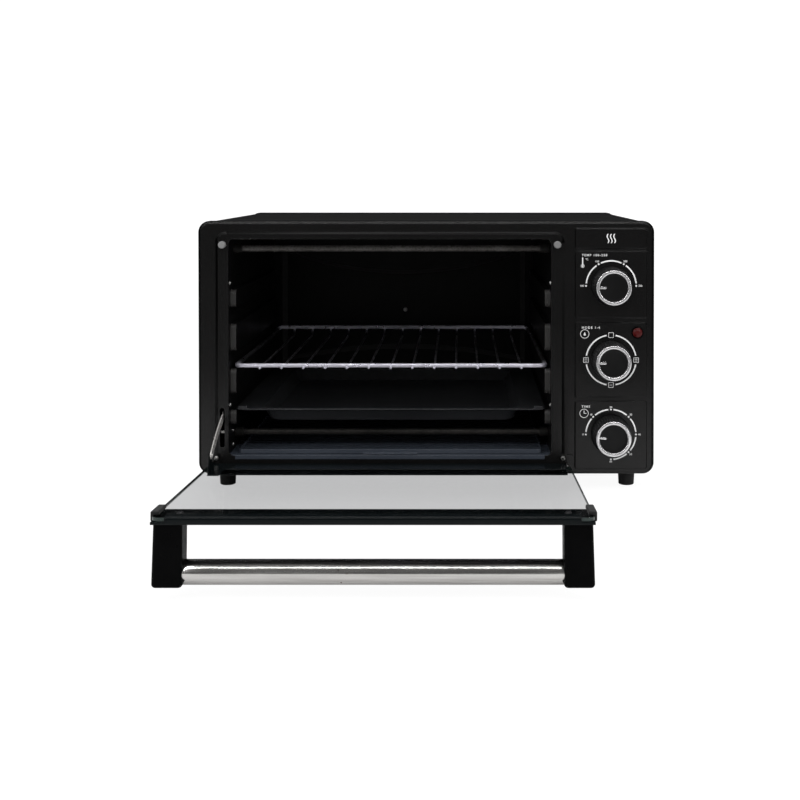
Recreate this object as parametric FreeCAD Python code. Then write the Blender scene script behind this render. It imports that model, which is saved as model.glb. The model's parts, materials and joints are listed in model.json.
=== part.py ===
import FreeCAD, Part
import math
import os

# Toaster oven with a drop-down glass door, built as separate pieces.
# Millimetres. The origin is on the surface that the feet stand on, midway between the four feet.
# +Z is up, the door faces -Y, and +X is to the right of somebody facing the door.

V = FreeCAD.Vector
X_AXIS = V(1, 0, 0)
Y_AXIS = V(0, 1, 0)
Z_AXIS = V(0, 0, 1)

# ---------------------------------------------------------------- body shell
BODY_W = 500.0
BODY_D = 360.0
BODY_H = 278.0
FOOT_H = 18.0
CORNER_R = 12.5
SHEET = 1.0
THIN_SHEET = 0.8
EDGE_R = 4.0
FRAME_FLANGE = 14.0
WRAP_FIT = 0.05
WRAP_SETBACK = 5.0
WRAP_FLANGE_X = 228.0
FRONT = -BODY_D / 2
REAR = BODY_D / 2
BASE = FOOT_H
TOP = FOOT_H + BODY_H

# ---------------------------------------------------------------- cavity
CAVITY_X = -40.0
CAVITY_W = 354.0
CAVITY_LOW = BASE + 20.7
CAVITY_HIGH = BASE + 258.0
CAVITY_REAR = FRONT + 340.0
OPENING_R = 6.0
WALL_L = CAVITY_X - CAVITY_W / 2
WALL_R = CAVITY_X + CAVITY_W / 2
REAR_BULGE = 8.0

# ---------------------------------------------------------------- front panel
POCKET_X = (-232.0, 152.4)
POCKET_Z = (BASE + 4.0, BASE + 267.0)
POCKET_R = 13.0
POCKET_RAMP = 3.5
POCKET_DEPTH = 2.0
CARD_X = (162.3, 242.1)
CARD_RISE = 1.2
CARD_R = 3.0
DIAL_X = 202.3
CARDS_Z = ((247.0, 270.7), (171.0, 246.0), (84.3, 167.7), (5.4, 81.4))
BUMPER_X = (-223.2, 143.6)
BUMPER_Z = BASE + 252.0
SLOT_X = -224.0
SLOT_W = 5.0
SLOT_Z = (BASE + 29.0, BASE + 72.4)
LAMP_X = 231.0
LAMP_Z = BASE + 156.0
GLAND_X = 196.0
GLAND_Z = BASE + 34.0

# ---------------------------------------------------------------- vents
VENT_H = 3.2
VENT_END_R = VENT_H / 2 - 0.01
SIDE_VENT_W = 48.0
SIDE_VENT_ROWS = 6
SIDE_VENT_PITCH = 9.0
SIDE_VENTS_Y = (FRONT + 205.0, FRONT + 265.0)
SIDE_VENTS_Z = (BASE + 34.0, BASE + 196.0)
CONTROL_VENT_W = 20.0
CAVITY_VENT_W = 40.0

# ---------------------------------------------------------------- runners in the cavity walls
RUNNERS_Z = ((51.0, 68.2), (85.0, 114.0), (132.6, 164.0), (181.0, 202.0))
RUNNER_RISE = 6.0
RUNNER_DRAFT = 0.5
RUNNER_Y = (FRONT + 15.0, FRONT + 325.0)
RUNNER_R = 6.5

# ---------------------------------------------------------------- door, described shut
HINGE_Y = FRONT - 7.0
HINGE_Z = BASE + 9.5
OPEN_ANGLE = 87.2
GLASS_W = 394.0
GLASS_T = 4.0
GLASS_INNER = 2.5
GLASS_FIT = 0.02
GLASS_SPAN = (8.0, 258.0)
GLASS_CORNER_R = 8.0
RAIL_W = 384.0
RAIL_SPAN = (-4.0, 30.0)
RAIL_T = (3.5, -3.5)
TRIM_LIP_W = 369.0
TRIM_SPAN = (247.5, 259.5)
TRIM_DEPTH = (3.6, -4.0)
TRIM_ROUND = 3.0
MOUNT_STRIP_FROM = 205.0
CAP_SPAN = (217.0, 247.5)
CAP_OVER = 2.7
CAP_LAP = 5.0
PIN_R = 2.0
EAR_T = 1.6
EAR_R = 5.5

# ---------------------------------------------------------------- handle
HANDLE_SPAN = (231.0, 257.5)
HANDLE_OUT = 59.2
HANDLE_BRACKET_W = 26.0
HANDLE_BRACKET_X = 169.3
HANDLE_SCREW_IN = 5.0
HANDLE_SCREW_UP = 240.0
HANDLE_TAPER = 1.0
HANDLE_SPREAD = 1.7
BAR_R = 11.2
BAR_CENTRE = 47.5
BAR_SPAN = 243.3
BAR_WALL = 1.0
BAR_SOCKET = 8.0
BAR_OUT = GLASS_INNER - GLASS_T - BAR_CENTRE

# ---------------------------------------------------------------- hinge link, left side only
LUG_X = (-226.1, -225.0)
LINK_X = (-224.7, -223.3)
LINK_PIN = (52.5, 22.0)
LINK_HALF_W = 4.2
LINK_LENGTH = 108.0
LINK_BOW = 300.0
LINK_RISE_DEG = 30.0
LINK_PIN_R = 1.5

# ---------------------------------------------------------------- knobs and controls
KNOBS = (
    ("temperature", BASE + 207.1, 0.0),
    ("selector", BASE + 125.8, 0.0),
    ("timer", BASE + 44.1, 5.0),
)
KNOB_R = 21.8
KNOB_FRONT_R = 18.9
KNOB_DEPTH = 25.0
KNOB_GAP = 1.0
KNOB_RIBS = 40
RING_OUT_R = 18.9
RING_IN_R = 15.4
SHAFT_R = 3.0
SHAFT_FIT = 0.05
SHAFT_IN_KNOB = 14.0
SHAFT_REACH = 22.0
KNOB_RIB_R = 0.9
POINTER_L = 7.58
POINTER_W = 2.5
BUSH_R = 4.9
TERMINALS_X = (176.0, 190.0, 204.0)
TERMINAL_Y = REAR - 42.0
TERMINAL_Z = BASE + 39.0

# ---------------------------------------------------------------- rack, trays and elements
ROD_R = 2.5
RACK_WIRE_R = 1.3
RACK_WIRE_DROP = 2.2
RACK_WIRE_END = 1.2
RACK_HALF_W = 172.0
RACK_REAR_HALF_W = 165.5
RACK_STEP_RUN = 14.0
RACK_STEP_RISE = 8.0
RACK_WIRES = 13
RACK_PITCH = 24.2
RACK_Y = (FRONT + 20.0, FRONT + 313.0)
RACK_Z = BASE + 114.2 + ROD_R
TRAY_RIM_HALF = 172.0
TRAY_BODY_HALF = 143.0
TRAY_Y = (FRONT + 14.0, FRONT + 320.0)
TRAY_Z = BASE + 68.4
TRAY_DEPTH = 13.0
CRUMB_HALF = 167.0
CRUMB_Y = (FRONT + 8.0, FRONT + 330.0)
ELEMENT_R = 3.5
ELEMENTS = (
    ("upper_front_element", FRONT + 38.0, BASE + 246.0),
    ("upper_rear_element", FRONT + 150.0, BASE + 240.0),
    ("lower_front_element", FRONT + 45.0, BASE + 38.0),
    ("lower_rear_element", FRONT + 235.0, BASE + 38.0),
)
INSULATOR_R = 5.4
INSULATOR_NECK_R = 4.6
INSULATOR_IN = 10.0
INSULATOR_OUT = 5.0

FEET = (
    ("foot_front_left", -223.5, FRONT + 32.0),
    ("foot_front_right", 223.5, FRONT + 32.0),
    ("foot_rear_left", -223.5, REAR - 32.0),
    ("foot_rear_right", 223.5, REAR - 32.0),
)


# ---------------------------------------------------------------- shape helpers
def box(x, y, z):
    """A block between two limits on each axis."""
    return Part.makeBox(x[1] - x[0], y[1] - y[0], z[1] - z[0], V(x[0], y[0], z[0]))


def rod(start, end, radius):
    """A round bar from one point to another."""
    way = end - start
    return Part.makeCylinder(radius, way.Length, start, way)


def disc(x, y, z, radius):
    """A round bar along Y between two limits, centred on (x, z)."""
    return Part.makeCylinder(radius, y[1] - y[0], V(x, y[0], z), Y_AXIS)


def fuse(*shapes):
    """One solid from several that touch."""
    return shapes[0].multiFuse(list(shapes[1:])).removeSplitter()


def group(shapes):
    """Separate solids kept in one node."""
    return Part.makeCompound([s for shape in shapes for s in shape.Solids])


def round_rect(u, v, radius, place):
    """A closed rectangle with round corners. place turns its two coordinates into a point."""
    (u0, u1), (v0, v1), r = u, v, radius
    c = r * (1 - math.sqrt(0.5))
    sides = (
        ((u0 + r, v0), (u1 - r, v0), (u1 - c, v0 + c), (u1, v0 + r)),
        ((u1, v0 + r), (u1, v1 - r), (u1 - c, v1 - c), (u1 - r, v1)),
        ((u1 - r, v1), (u0 + r, v1), (u0 + c, v1 - c), (u0, v1 - r)),
        ((u0, v1 - r), (u0, v0 + r), (u0 + c, v0 + c), (u0 + r, v0)),
    )
    edges = []
    for start, end, mid, corner_end in sides:
        edges.append(Part.LineSegment(place(*start), place(*end)).toShape())
        edges.append(Part.Arc(place(*end), place(*mid), place(*corner_end)).toShape())
    return Part.Wire(edges)


def plate_xz(x, y, z, radius):
    """A plate facing Y with round corners in X and Z."""
    wire = round_rect(x, z, radius, lambda a, b: V(a, y[0], b))
    return Part.Face(wire).extrude(V(0, y[1] - y[0], 0))


def plate_xy(x, y, z, radius):
    """A plate facing Z with round corners in X and Y."""
    wire = round_rect(x, y, radius, lambda a, b: V(a, b, z[0]))
    return Part.Face(wire).extrude(V(0, 0, z[1] - z[0]))


def grown(limits, by):
    return (limits[0] - by, limits[1] + by)


def pressing_xz(x, z, radius, y0, y1, inset):
    """A flat-topped pressing that faces Y and narrows by inset from y0 to y1."""
    base = round_rect(x, z, radius, lambda a, b: V(a, y0, b))
    inner_r = max(radius - inset, 0.5)
    head = round_rect(grown(x, -inset), grown(z, -inset), inner_r, lambda a, b: V(a, y1, b))
    return Part.makeLoft([base, head], True, True)


def pressing_yz(y, z, radius, x0, x1, inset):
    """A flat-topped pressing that faces X and narrows by inset from x0 to x1."""
    base = round_rect(y, z, radius, lambda a, b: V(x0, a, b))
    inner_r = max(radius - inset, 0.5)
    head = round_rect(grown(y, -inset), grown(z, -inset), inner_r, lambda a, b: V(x1, a, b))
    return Part.makeLoft([base, head], True, True)


def edges_at_y(shape, y, radius):
    """Round the outer edges of a shape that lie in the plane at y."""
    found = [
        e for e in shape.Edges if abs(e.BoundBox.YMin - y) < 1e-3 and abs(e.BoundBox.YMax - y) < 1e-3
    ]
    return shape.makeFillet(radius, found)


def turned(shape, point, axis, degrees):
    copy = shape.copy()
    copy.rotate(point, axis, degrees)
    return copy


def bent_rod(points, radius, bend):
    """A round bar along straight runs joined by tangent arcs of radius bend."""
    edges = []
    start = points[0]
    for before, here, after in zip(points, points[1:], points[2:]):
        a = (before - here).normalize()
        b = (after - here).normalize()
        half = a.getAngle(b) / 2
        reach = bend / math.tan(half)
        centre = here + (a + b).normalize() * (bend / math.sin(half))
        arc_middle = centre - (a + b).normalize() * bend
        edges.append(Part.LineSegment(start, here + a * reach).toShape())
        edges.append(Part.Arc(here + a * reach, arc_middle, here + b * reach).toShape())
        start = here + b * reach
    edges.append(Part.LineSegment(start, points[-1]).toShape())
    profile = Part.Wire([Part.Circle(points[0], points[1] - points[0], radius).toShape()])
    return Part.Wire(edges).makePipeShell([profile], True, False)


NODES = {}


def node(name, shape):
    NODES[name] = shape


# ---------------------------------------------------------------- shell and frame
def shell_prism(y, inset, radius):
    half = BODY_W / 2 - inset
    return plate_xz((-half, half), y, (BASE + inset, TOP - inset), radius)


def pressed_panel(y_face, y_back, direction):
    """A pressed sheet pan with a round front edge. direction is +1 where the pan opens towards +Y."""
    low, high = sorted((y_face, y_back))
    outer = edges_at_y(shell_prism((low, high), 0, CORNER_R), y_face, EDGE_R)
    inner_face = y_face + direction * SHEET
    low, high = sorted((inner_face, y_back + direction))
    inner = shell_prism((low, high), SHEET, CORNER_R - SHEET)
    return outer.cut(edges_at_y(inner, inner_face, EDGE_R - SHEET))


def front_frame():
    pan = pressed_panel(FRONT, FRONT + FRAME_FLANGE, 1)
    floor_y = FRONT + POCKET_DEPTH
    back = pressing_xz(
        grown(POCKET_X, SHEET), grown(POCKET_Z, SHEET), POCKET_R + SHEET,
        FRONT + SHEET / 2, floor_y + SHEET, POCKET_RAMP,
    )
    front = pressing_xz(POCKET_X, POCKET_Z, POCKET_R, FRONT, floor_y, POCKET_RAMP)
    front = front.fuse(plate_xz(POCKET_X, (FRONT - 1, FRONT), POCKET_Z, POCKET_R))
    frame = fuse(pan, back).cut(front)
    cards = []
    for low, high in CARDS_Z:
        card = pressing_xz(
            CARD_X, (BASE + low, BASE + high), CARD_R, FRONT + SHEET / 2, FRONT - CARD_RISE, CARD_RISE
        )
        cards.append(card)
    frame = fuse(frame, *cards)
    opening = plate_xz(
        (WALL_L, WALL_R), (FRONT - 3, FRONT + 6), (CAVITY_LOW - THIN_SHEET, CAVITY_HIGH), OPENING_R
    )
    slot_x = (SLOT_X - SLOT_W / 2, SLOT_X + SLOT_W / 2)
    slot = plate_xz(slot_x, (FRONT - 3, FRONT + 6), SLOT_Z, SLOT_W / 2 - 0.01)
    through = (FRONT - 4, FRONT + 6)
    holes = [disc(DIAL_X, through, z, BUSH_R + 0.1) for _, z, _ in KNOBS]
    holes += [disc(x, through, BUMPER_Z, 2.0) for x in BUMPER_X]
    holes.append(disc(LAMP_X, through, LAMP_Z, 4.6))
    for tool in [opening, slot, *holes]:
        frame = frame.cut(tool)
    return frame


def side_vent(x, y0, z0):
    """A round-ended slot through a side wall."""
    wire = round_rect((y0, y0 + SIDE_VENT_W), (z0, z0 + VENT_H), VENT_END_R, lambda a, b: V(x[0], a, b))
    return Part.Face(wire).extrude(V(x[1] - x[0], 0, 0))


def outer_wrap():
    inset = SHEET + WRAP_FIT
    y = (FRONT + WRAP_SETBACK, REAR - WRAP_SETBACK)
    outer = shell_prism(y, inset, CORNER_R - inset)
    inner = shell_prism(grown(y, 1), inset + THIN_SHEET, CORNER_R - inset - THIN_SHEET)
    wrap = outer.cut(inner)
    wrap = wrap.cut(box((-WRAP_FLANGE_X, WRAP_FLANGE_X), grown(y, 1), (BASE - 1, BASE + 4)))
    slots = []
    for side in (-1, 1):
        x = (side * (BODY_W / 2) - 4, side * (BODY_W / 2) + 4)
        for y0 in SIDE_VENTS_Y:
            for z0 in SIDE_VENTS_Z:
                slots += [side_vent(x, y0, z0 + i * SIDE_VENT_PITCH) for i in range(SIDE_VENT_ROWS)]
    return wrap.cut(Part.makeCompound(slots))


def rear_vent(x0, width, z0):
    return plate_xz((x0, x0 + width), (REAR - 3, REAR + 3), (z0, z0 + VENT_H), VENT_END_R)


def rear_cover():
    """The rear pan, vented behind the controls and along the top of the cavity."""
    pan = pressed_panel(REAR, REAR - FRAME_FLANGE, -1)
    vents = []
    for column in range(3):
        for row in range(9):
            vents.append(rear_vent(150.0 + column * 26.0, CONTROL_VENT_W, BASE + 96.0 + row * 15.0))
    for column in range(6):
        for z0 in (BASE + 236.0, BASE + 246.0):
            vents.append(rear_vent(-206.0 + column * 52.0, CAVITY_VENT_W, z0))
    gland_hole = disc(GLAND_X, (REAR - 3, REAR + 3), GLAND_Z, 7.1)
    return pan.cut(Part.makeCompound([*vents, gland_hole]))


def cord_gland():
    flange = disc(GLAND_X, (REAR, REAR + 4.0), GLAND_Z, 11.0)
    neck = disc(GLAND_X, (REAR - 10.0, REAR), GLAND_Z, 7.0)
    sleeve = Part.makeCone(7.0, 5.4, 12.0, V(GLAND_X, REAR + 4.0, GLAND_Z), Y_AXIS)
    hole = disc(GLAND_X, (REAR - 11.0, REAR + 17.0), GLAND_Z, 3.6)
    return fuse(flange, neck, sleeve).cut(hole)


def bottom_plate():
    z0 = BASE + SHEET + WRAP_FIT + THIN_SHEET
    half = 237.0
    y = (FRONT + WRAP_SETBACK, REAR - WRAP_SETBACK)
    sheet = box((-half, half), y, (z0, z0 + SHEET))
    slots = []
    for x0 in (-180.0, -120.0, -60.0, 0.0, 60.0):
        for y0 in (FRONT + 150.0, FRONT + 165.0, FRONT + 180.0):
            slots.append(plate_xy((x0, x0 + 44.0), (y0, y0 + 4.0), (z0 - 1, z0 + 3), 1.99))
    for i in range(8):
        y0 = FRONT + 70.0 + i * 12.0
        slots.append(plate_xy((160.0, 206.0), (y0, y0 + 4.0), (z0 - 1, z0 + 3), 1.99))
    return sheet.cut(Part.makeCompound(slots))


def foot(x, y):
    """A turned rubber foot, wider at the top, with a boss that reaches the bottom plate."""
    top = BASE + SHEET + WRAP_FIT
    pad = Part.makeCone(8.5, 9.5, top, V(x, y, 0), Z_AXIS)
    pad = pad.makeFillet(1.2, [e for e in pad.Edges if abs(e.BoundBox.ZMax) < 1e-3])
    boss = Part.makeCylinder(4.4, THIN_SHEET, V(x, y, top), Z_AXIS)
    recess = Part.makeCylinder(3.0, 6.0, V(x, y, -0.01), Z_AXIS)
    return fuse(pad, boss).cut(recess)


# ---------------------------------------------------------------- cavity
def runner_pressing(side, low, high):
    """One pressed guide. side is +1 on the left wall, whose inside faces +X."""
    x_wall = WALL_L if side > 0 else WALL_R
    z = (BASE + low, BASE + high)
    radius = min(RUNNER_R, (high - low) / 2 - 0.1)
    rib = pressing_yz(RUNNER_Y, z, radius, x_wall - side * 0.4, x_wall + side * RUNNER_RISE, RUNNER_DRAFT)
    hollow = pressing_yz(
        grown(RUNNER_Y, -SHEET), grown(z, -SHEET), radius - SHEET,
        x_wall - side * 2.0, x_wall + side * (RUNNER_RISE - SHEET), RUNNER_DRAFT,
    )
    return rib, hollow


def cavity_side(side):
    x_wall = WALL_L if side > 0 else WALL_R
    x = tuple(sorted((x_wall, x_wall - side * THIN_SHEET)))
    y = (FRONT + POCKET_DEPTH + SHEET, CAVITY_REAR)
    wall = box(x, y, (CAVITY_LOW, CAVITY_HIGH))
    for low, high in RUNNERS_Z:
        rib, hollow = runner_pressing(side, low, high)
        wall = wall.fuse(rib).cut(hollow)
    for _, ey, ez in ELEMENTS:
        hole = Part.makeCylinder(INSULATOR_NECK_R + 0.1, 6.0, V(x_wall - 3, ey, ez), X_AXIS)
        wall = wall.cut(hole)
    return wall


def cavity_top():
    x = (WALL_L - THIN_SHEET, WALL_R + THIN_SHEET)
    y = (FRONT + POCKET_DEPTH + SHEET, CAVITY_REAR)
    return box(x, y, (CAVITY_HIGH, CAVITY_HIGH + THIN_SHEET))


def cavity_floor():
    """The floor sheet, whose front lip folds down over the lower edge of the opening."""
    z = (CAVITY_LOW - THIN_SHEET, CAVITY_LOW)
    x = (WALL_L - THIN_SHEET, WALL_R + THIN_SHEET)
    back = box(x, (FRONT + POCKET_DEPTH + SHEET, CAVITY_REAR), z)
    lip_x = (WALL_L + OPENING_R + 1, WALL_R - OPENING_R - 1)
    tongue = box(lip_x, (FRONT + POCKET_DEPTH - THIN_SHEET, FRONT + POCKET_DEPTH + SHEET + 0.5), z)
    lip = box(
        lip_x,
        (FRONT + POCKET_DEPTH - THIN_SHEET, FRONT + POCKET_DEPTH),
        (CAVITY_LOW - 4.5, CAVITY_LOW),
    )
    return fuse(back, tongue, lip)


def spool_outline(y, inset):
    """The pressed panel in the rear wall: straight sides, and arcs that dip and rise towards its middle."""
    half = 165.6 - inset
    x0, x1 = CAVITY_X - half, CAVITY_X + half
    top_end, top_mid = BASE + 229.0 - inset, BASE + 200.0 - inset
    low_end, low_mid = BASE + 74.0 + inset, BASE + 92.0 + inset
    corners = [V(x0, y, low_end), V(x1, y, low_end), V(x1, y, top_end), V(x0, y, top_end)]
    return Part.Wire([
        Part.Arc(corners[0], V(CAVITY_X, y, low_mid), corners[1]).toShape(),
        Part.LineSegment(corners[1], corners[2]).toShape(),
        Part.Arc(corners[2], V(CAVITY_X, y, top_mid), corners[3]).toShape(),
        Part.LineSegment(corners[3], corners[0]).toShape(),
    ])


def cavity_rear():
    x = (WALL_L - THIN_SHEET, WALL_R + THIN_SHEET)
    y = CAVITY_REAR
    sheet = box(x, (y, y + THIN_SHEET), (CAVITY_LOW - THIN_SHEET, CAVITY_HIGH + THIN_SHEET))
    outer = Part.makeLoft(
        [spool_outline(y + 0.3, -SHEET), spool_outline(y + REAR_BULGE, 6.0 - SHEET)], True, True
    )
    inner = Part.makeLoft(
        [spool_outline(y, 0), spool_outline(y + REAR_BULGE - THIN_SHEET, 6.0)], True, True
    )
    crease = box((CAVITY_X - 150, CAVITY_X + 150), (y - 1.2, y + 0.2), (BASE + 56.0, BASE + 62.0))
    crease = crease.makeFillet(1.0, [e for e in crease.Edges if abs(e.BoundBox.YMax - (y - 1.2)) < 1e-3])
    return fuse(sheet.fuse(outer).cut(inner), crease)


def control_partition():
    """A bent heat shield between the cavity and the controls."""
    x0 = WALL_R + 14.0
    wall = box((x0, x0 + THIN_SHEET), (FRONT + 10.0, REAR - 12.0), (BASE + 3.0, TOP - 12.0))
    foot_flange = box((x0, x0 + 8.0), (FRONT + 10.0, REAR - 12.0), (BASE + 2.9, BASE + 3.7))
    holes = [
        Part.makeCylinder(7.0, 6.0, V(x0 - 3, ey, ez), X_AXIS) for _, ey, ez in ELEMENTS
    ]
    return fuse(wall, foot_flange).cut(Part.makeCompound(holes))


def heating_element(y, z):
    """A sheathed rod with a thinner terminal pin at each end."""
    tube = rod(V(WALL_L - 6.0, y, z), V(WALL_R + 6.0, y, z), ELEMENT_R)
    pins = rod(V(WALL_L - 12.0, y, z), V(WALL_R + 22.0, y, z), 1.6)
    return fuse(tube, pins)


def insulators():
    pieces = []
    for _, y, z in ELEMENTS:
        for side, wall_x in ((1, WALL_L), (-1, WALL_R)):
            inner = wall_x + side * INSULATOR_IN
            outer = wall_x - side * INSULATOR_OUT
            bead = rod(V(wall_x, y, z), V(inner, y, z), INSULATOR_R)
            bead = bead.makeFillet(
                1.0, [e for e in bead.Edges if abs(e.BoundBox.XMin - inner) < 1e-3]
            )
            neck = rod(V(outer, y, z), V(wall_x, y, z), INSULATOR_NECK_R)
            bore = rod(V(outer - side, y, z), V(inner + side, y, z), ELEMENT_R + 0.02)
            pieces.append(fuse(bead, neck).cut(bore))
    return group(pieces)


def pan_screw(x, y, z, out, radius=2.4, length=5.0):
    """A domed cross-head screw. out is the way that the head faces."""
    head = Part.makeCone(radius, radius * 0.72, 1.3, V(x, y, z), out)
    shank = Part.makeCylinder(1.4, length, V(x, y, z), out * -1)
    screw = fuse(head, shank)
    for degrees in (0, 90):
        arm = Part.makeBox(radius * 1.3, 0.5, 0.8, V(-radius * 0.65, -0.25, 0.75))
        arm.rotate(V(0, 0, 0), Z_AXIS, degrees)
        arm.Placement = FreeCAD.Placement(V(x, y, z), FreeCAD.Rotation(Z_AXIS, out)).multiply(arm.Placement)
        screw = screw.cut(arm)
    return screw


def cavity_screws():
    """Screws that hold the cavity walls, seen from the inside and round the opening."""
    screws = [pan_screw(x, FRONT + 26.0, CAVITY_HIGH, V(0, 0, -1)) for x in (-206.0, -197.0, 118.0)]
    for x, out in ((WALL_L, 1), (WALL_R, -1)):
        for z in (BASE + 209.5, BASE + 74.5):
            screws.append(pan_screw(x, FRONT + 10.0, z, V(out, 0, 0)))
    for z in (BASE + 43.0, BASE + 27.5):
        screws.append(pan_screw(WALL_L, FRONT + 27.0, z, V(1, 0, 0), 1.8))
    panel_y = CAVITY_REAR + REAR_BULGE - THIN_SHEET
    screws.append(pan_screw(CAVITY_X + 2.0, panel_y, BASE + 145.0, V(0, -1, 0), 3.0))
    return group(screws)


def cover_screws():
    """Screws round the rear cover."""
    places = [(sx * 226.0, z) for sx in (-1, 1) for z in (BASE + 20.0, BASE + 139.0, BASE + 258.0)]
    places += [(x, z) for x in (-75.0, 75.0) for z in (BASE + 12.0, BASE + 266.0)]
    screws = [pan_screw(x, REAR, z, V(0, 1, 0), 3.2) for x, z in places]
    return group(screws)


# ---------------------------------------------------------------- door, built shut, then opened
def opened(shape):
    return turned(shape, V(0, HINGE_Y, HINGE_Z), X_AXIS, OPEN_ANGLE)


def door_box(x, depth, span):
    """A block on the shut door. depth counts inwards from the hinge axis, and span counts up from it."""
    low, high = sorted(depth)
    return box(x, (HINGE_Y + low, HINGE_Y + high), (HINGE_Z + span[0], HINGE_Z + span[1]))


def door_glass():
    y = (HINGE_Y + GLASS_INNER - GLASS_T, HINGE_Y + GLASS_INNER)
    z = (HINGE_Z + GLASS_SPAN[0], HINGE_Z + GLASS_SPAN[1])
    x = (CAVITY_X - GLASS_W / 2, CAVITY_X + GLASS_W / 2)
    pane = plate_xz(x, y, z, GLASS_CORNER_R)
    rim = [e for e in pane.Edges if abs(e.BoundBox.YMax - e.BoundBox.YMin) < 1e-3]
    return opened(pane.makeChamfer(0.5, rim))


def half_span(width):
    return (CAVITY_X - width / 2, CAVITY_X + width / 2)


def door_bottom_rail():
    """A pressed channel that holds the lower edge of the pane, with the lug for the link on its left."""
    body = door_box(half_span(RAIL_W), RAIL_T, RAIL_SPAN)
    body = body.makeFillet(1.5, [e for e in body.Edges if e.BoundBox.XLength > 10])
    groove = door_box(
        half_span(GLASS_W + 10),
        (GLASS_INNER + GLASS_FIT, GLASS_INNER - GLASS_T - GLASS_FIT),
        (GLASS_SPAN[0] - GLASS_FIT, RAIL_SPAN[1] + 5),
    )
    rail = body.cut(groove)
    pin_hole = rod(
        V(CAVITY_X - 250, HINGE_Y, HINGE_Z), V(CAVITY_X + 250, HINGE_Y, HINGE_Z), PIN_R
    )
    rail = rail.cut(pin_hole)
    along, height = LINK_PIN
    base = door_box((LUG_X[0], SLOT_X + 10.0), (GLASS_INNER + GLASS_FIT, RAIL_T[0]), (24.0, along + 12.0))
    outline = [(2.6, 34.0), (2.6, along + 11.0), (height + 1.0, along + 3.4), (height + 1.0, along - 3.4)]
    points = [V(LUG_X[0], HINGE_Y + d, HINGE_Z + s) for d, s in outline]
    cheek = Part.Face(Part.makePolygon([*points, points[0]])).extrude(V(LUG_X[1] - LUG_X[0], 0, 0))
    tip = rod(
        V(LUG_X[0], HINGE_Y + height, HINGE_Z + along), V(LUG_X[1], HINGE_Y + height, HINGE_Z + along), 3.4
    )
    hole = rod(
        V(LUG_X[0] - 1, HINGE_Y + height, HINGE_Z + along),
        V(LUG_X[1] + 1, HINGE_Y + height, HINGE_Z + along), LINK_PIN_R + SHAFT_FIT,
    )
    return opened(fuse(rail, base, cheek, tip).cut(hole))


def door_top_trim():
    """A black profile along the free edge of the pane: full width outside, shorter where it laps inside."""
    glass_out = GLASS_INNER - GLASS_T
    outside = door_box(half_span(GLASS_W), (glass_out, TRIM_DEPTH[1]), (MOUNT_STRIP_FROM, TRIM_SPAN[1]))
    face = door_box(half_span(TRIM_LIP_W), TRIM_DEPTH, (GLASS_SPAN[1], TRIM_SPAN[1]))
    lap = door_box(half_span(TRIM_LIP_W), (GLASS_INNER, TRIM_DEPTH[0]), (TRIM_SPAN[0], TRIM_SPAN[1]))
    trim = fuse(outside, face, lap)
    return opened(round_long_edge(trim, HINGE_Y + TRIM_DEPTH[0], HINGE_Z + TRIM_SPAN[1], TRIM_ROUND))


def round_long_edge(shape, y, z, radius):
    """Round the edge along X that passes through (y, z)."""
    found = [
        e for e in shape.Edges
        if e.BoundBox.XLength > 50 and e.BoundBox.Center.distanceToPoint(V(e.BoundBox.Center.x, y, z)) < 1e-3
    ]
    return shape.makeFillet(radius, found)


def corner_cap(side):
    """A rubber pad that wraps the side edge of the pane close to its free corner."""
    edge = CAVITY_X + side * GLASS_W / 2
    x = tuple(sorted((edge + side * CAP_OVER, edge - side * CAP_LAP)))
    outer = door_box(x, (GLASS_INNER + 3.0, TRIM_DEPTH[1] + 0.3), CAP_SPAN)
    outer = outer.makeFillet(1.4, outer.Edges)
    inside = tuple(sorted((edge, edge - side * 2 * CAP_LAP)))
    slot = door_box(inside, (GLASS_INNER, TRIM_DEPTH[1]), grown(CAP_SPAN, 1))
    return opened(outer.cut(slot))


def handle_bracket(side):
    """A moulded stand-off that holds one end of the bar."""
    inner = CAVITY_X + side * HANDLE_BRACKET_X
    outer_root = inner + side * HANDLE_BRACKET_W
    root_d = TRIM_DEPTH[1]
    tip_d = GLASS_INNER - GLASS_T - HANDLE_OUT
    s0, s1 = HANDLE_SPAN

    def section(depth, share):
        x = tuple(sorted((inner, outer_root + side * HANDLE_SPREAD * share)))
        s = (s0 + HANDLE_TAPER * share, s1 - HANDLE_TAPER * share)
        return round_rect(x, s, 4.0, lambda a, b: V(a, HINGE_Y + depth, HINGE_Z + b))

    body = Part.makeLoft([section(root_d, 0.0), section(tip_d, 1.0)], True, True)
    body = edges_at_y(body, HINGE_Y + tip_d, 3.5)
    socket = rod(
        V(inner - side * 1.0, HINGE_Y + BAR_OUT, HINGE_Z + BAR_SPAN),
        V(inner + side * BAR_SOCKET, HINGE_Y + BAR_OUT, HINGE_Z + BAR_SPAN), BAR_R
    )
    return opened(body.cut(socket))


def handle_bar():
    half = HANDLE_BRACKET_X + BAR_SOCKET
    ends = [V(CAVITY_X + s * half, HINGE_Y + BAR_OUT, HINGE_Z + BAR_SPAN) for s in (-1, 1)]
    way = V(1, 0, 0)
    tube = rod(ends[0], ends[1], BAR_R)
    bore = rod(ends[0] - way, ends[1] + way, BAR_R - BAR_WALL)
    return opened(tube.cut(bore))


def handle_screws():
    """One screw through the trim into each stand-off, with its head on the inside of the pane."""
    screws = []
    for side in (-1, 1):
        x = CAVITY_X + side * (HANDLE_BRACKET_X + HANDLE_SCREW_IN)
        y = HINGE_Y + GLASS_INNER
        screws.append(pan_screw(x, y, HINGE_Z + HANDLE_SCREW_UP, V(0, 1, 0), 3.4, 14.0))
    return opened(group(screws))


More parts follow.
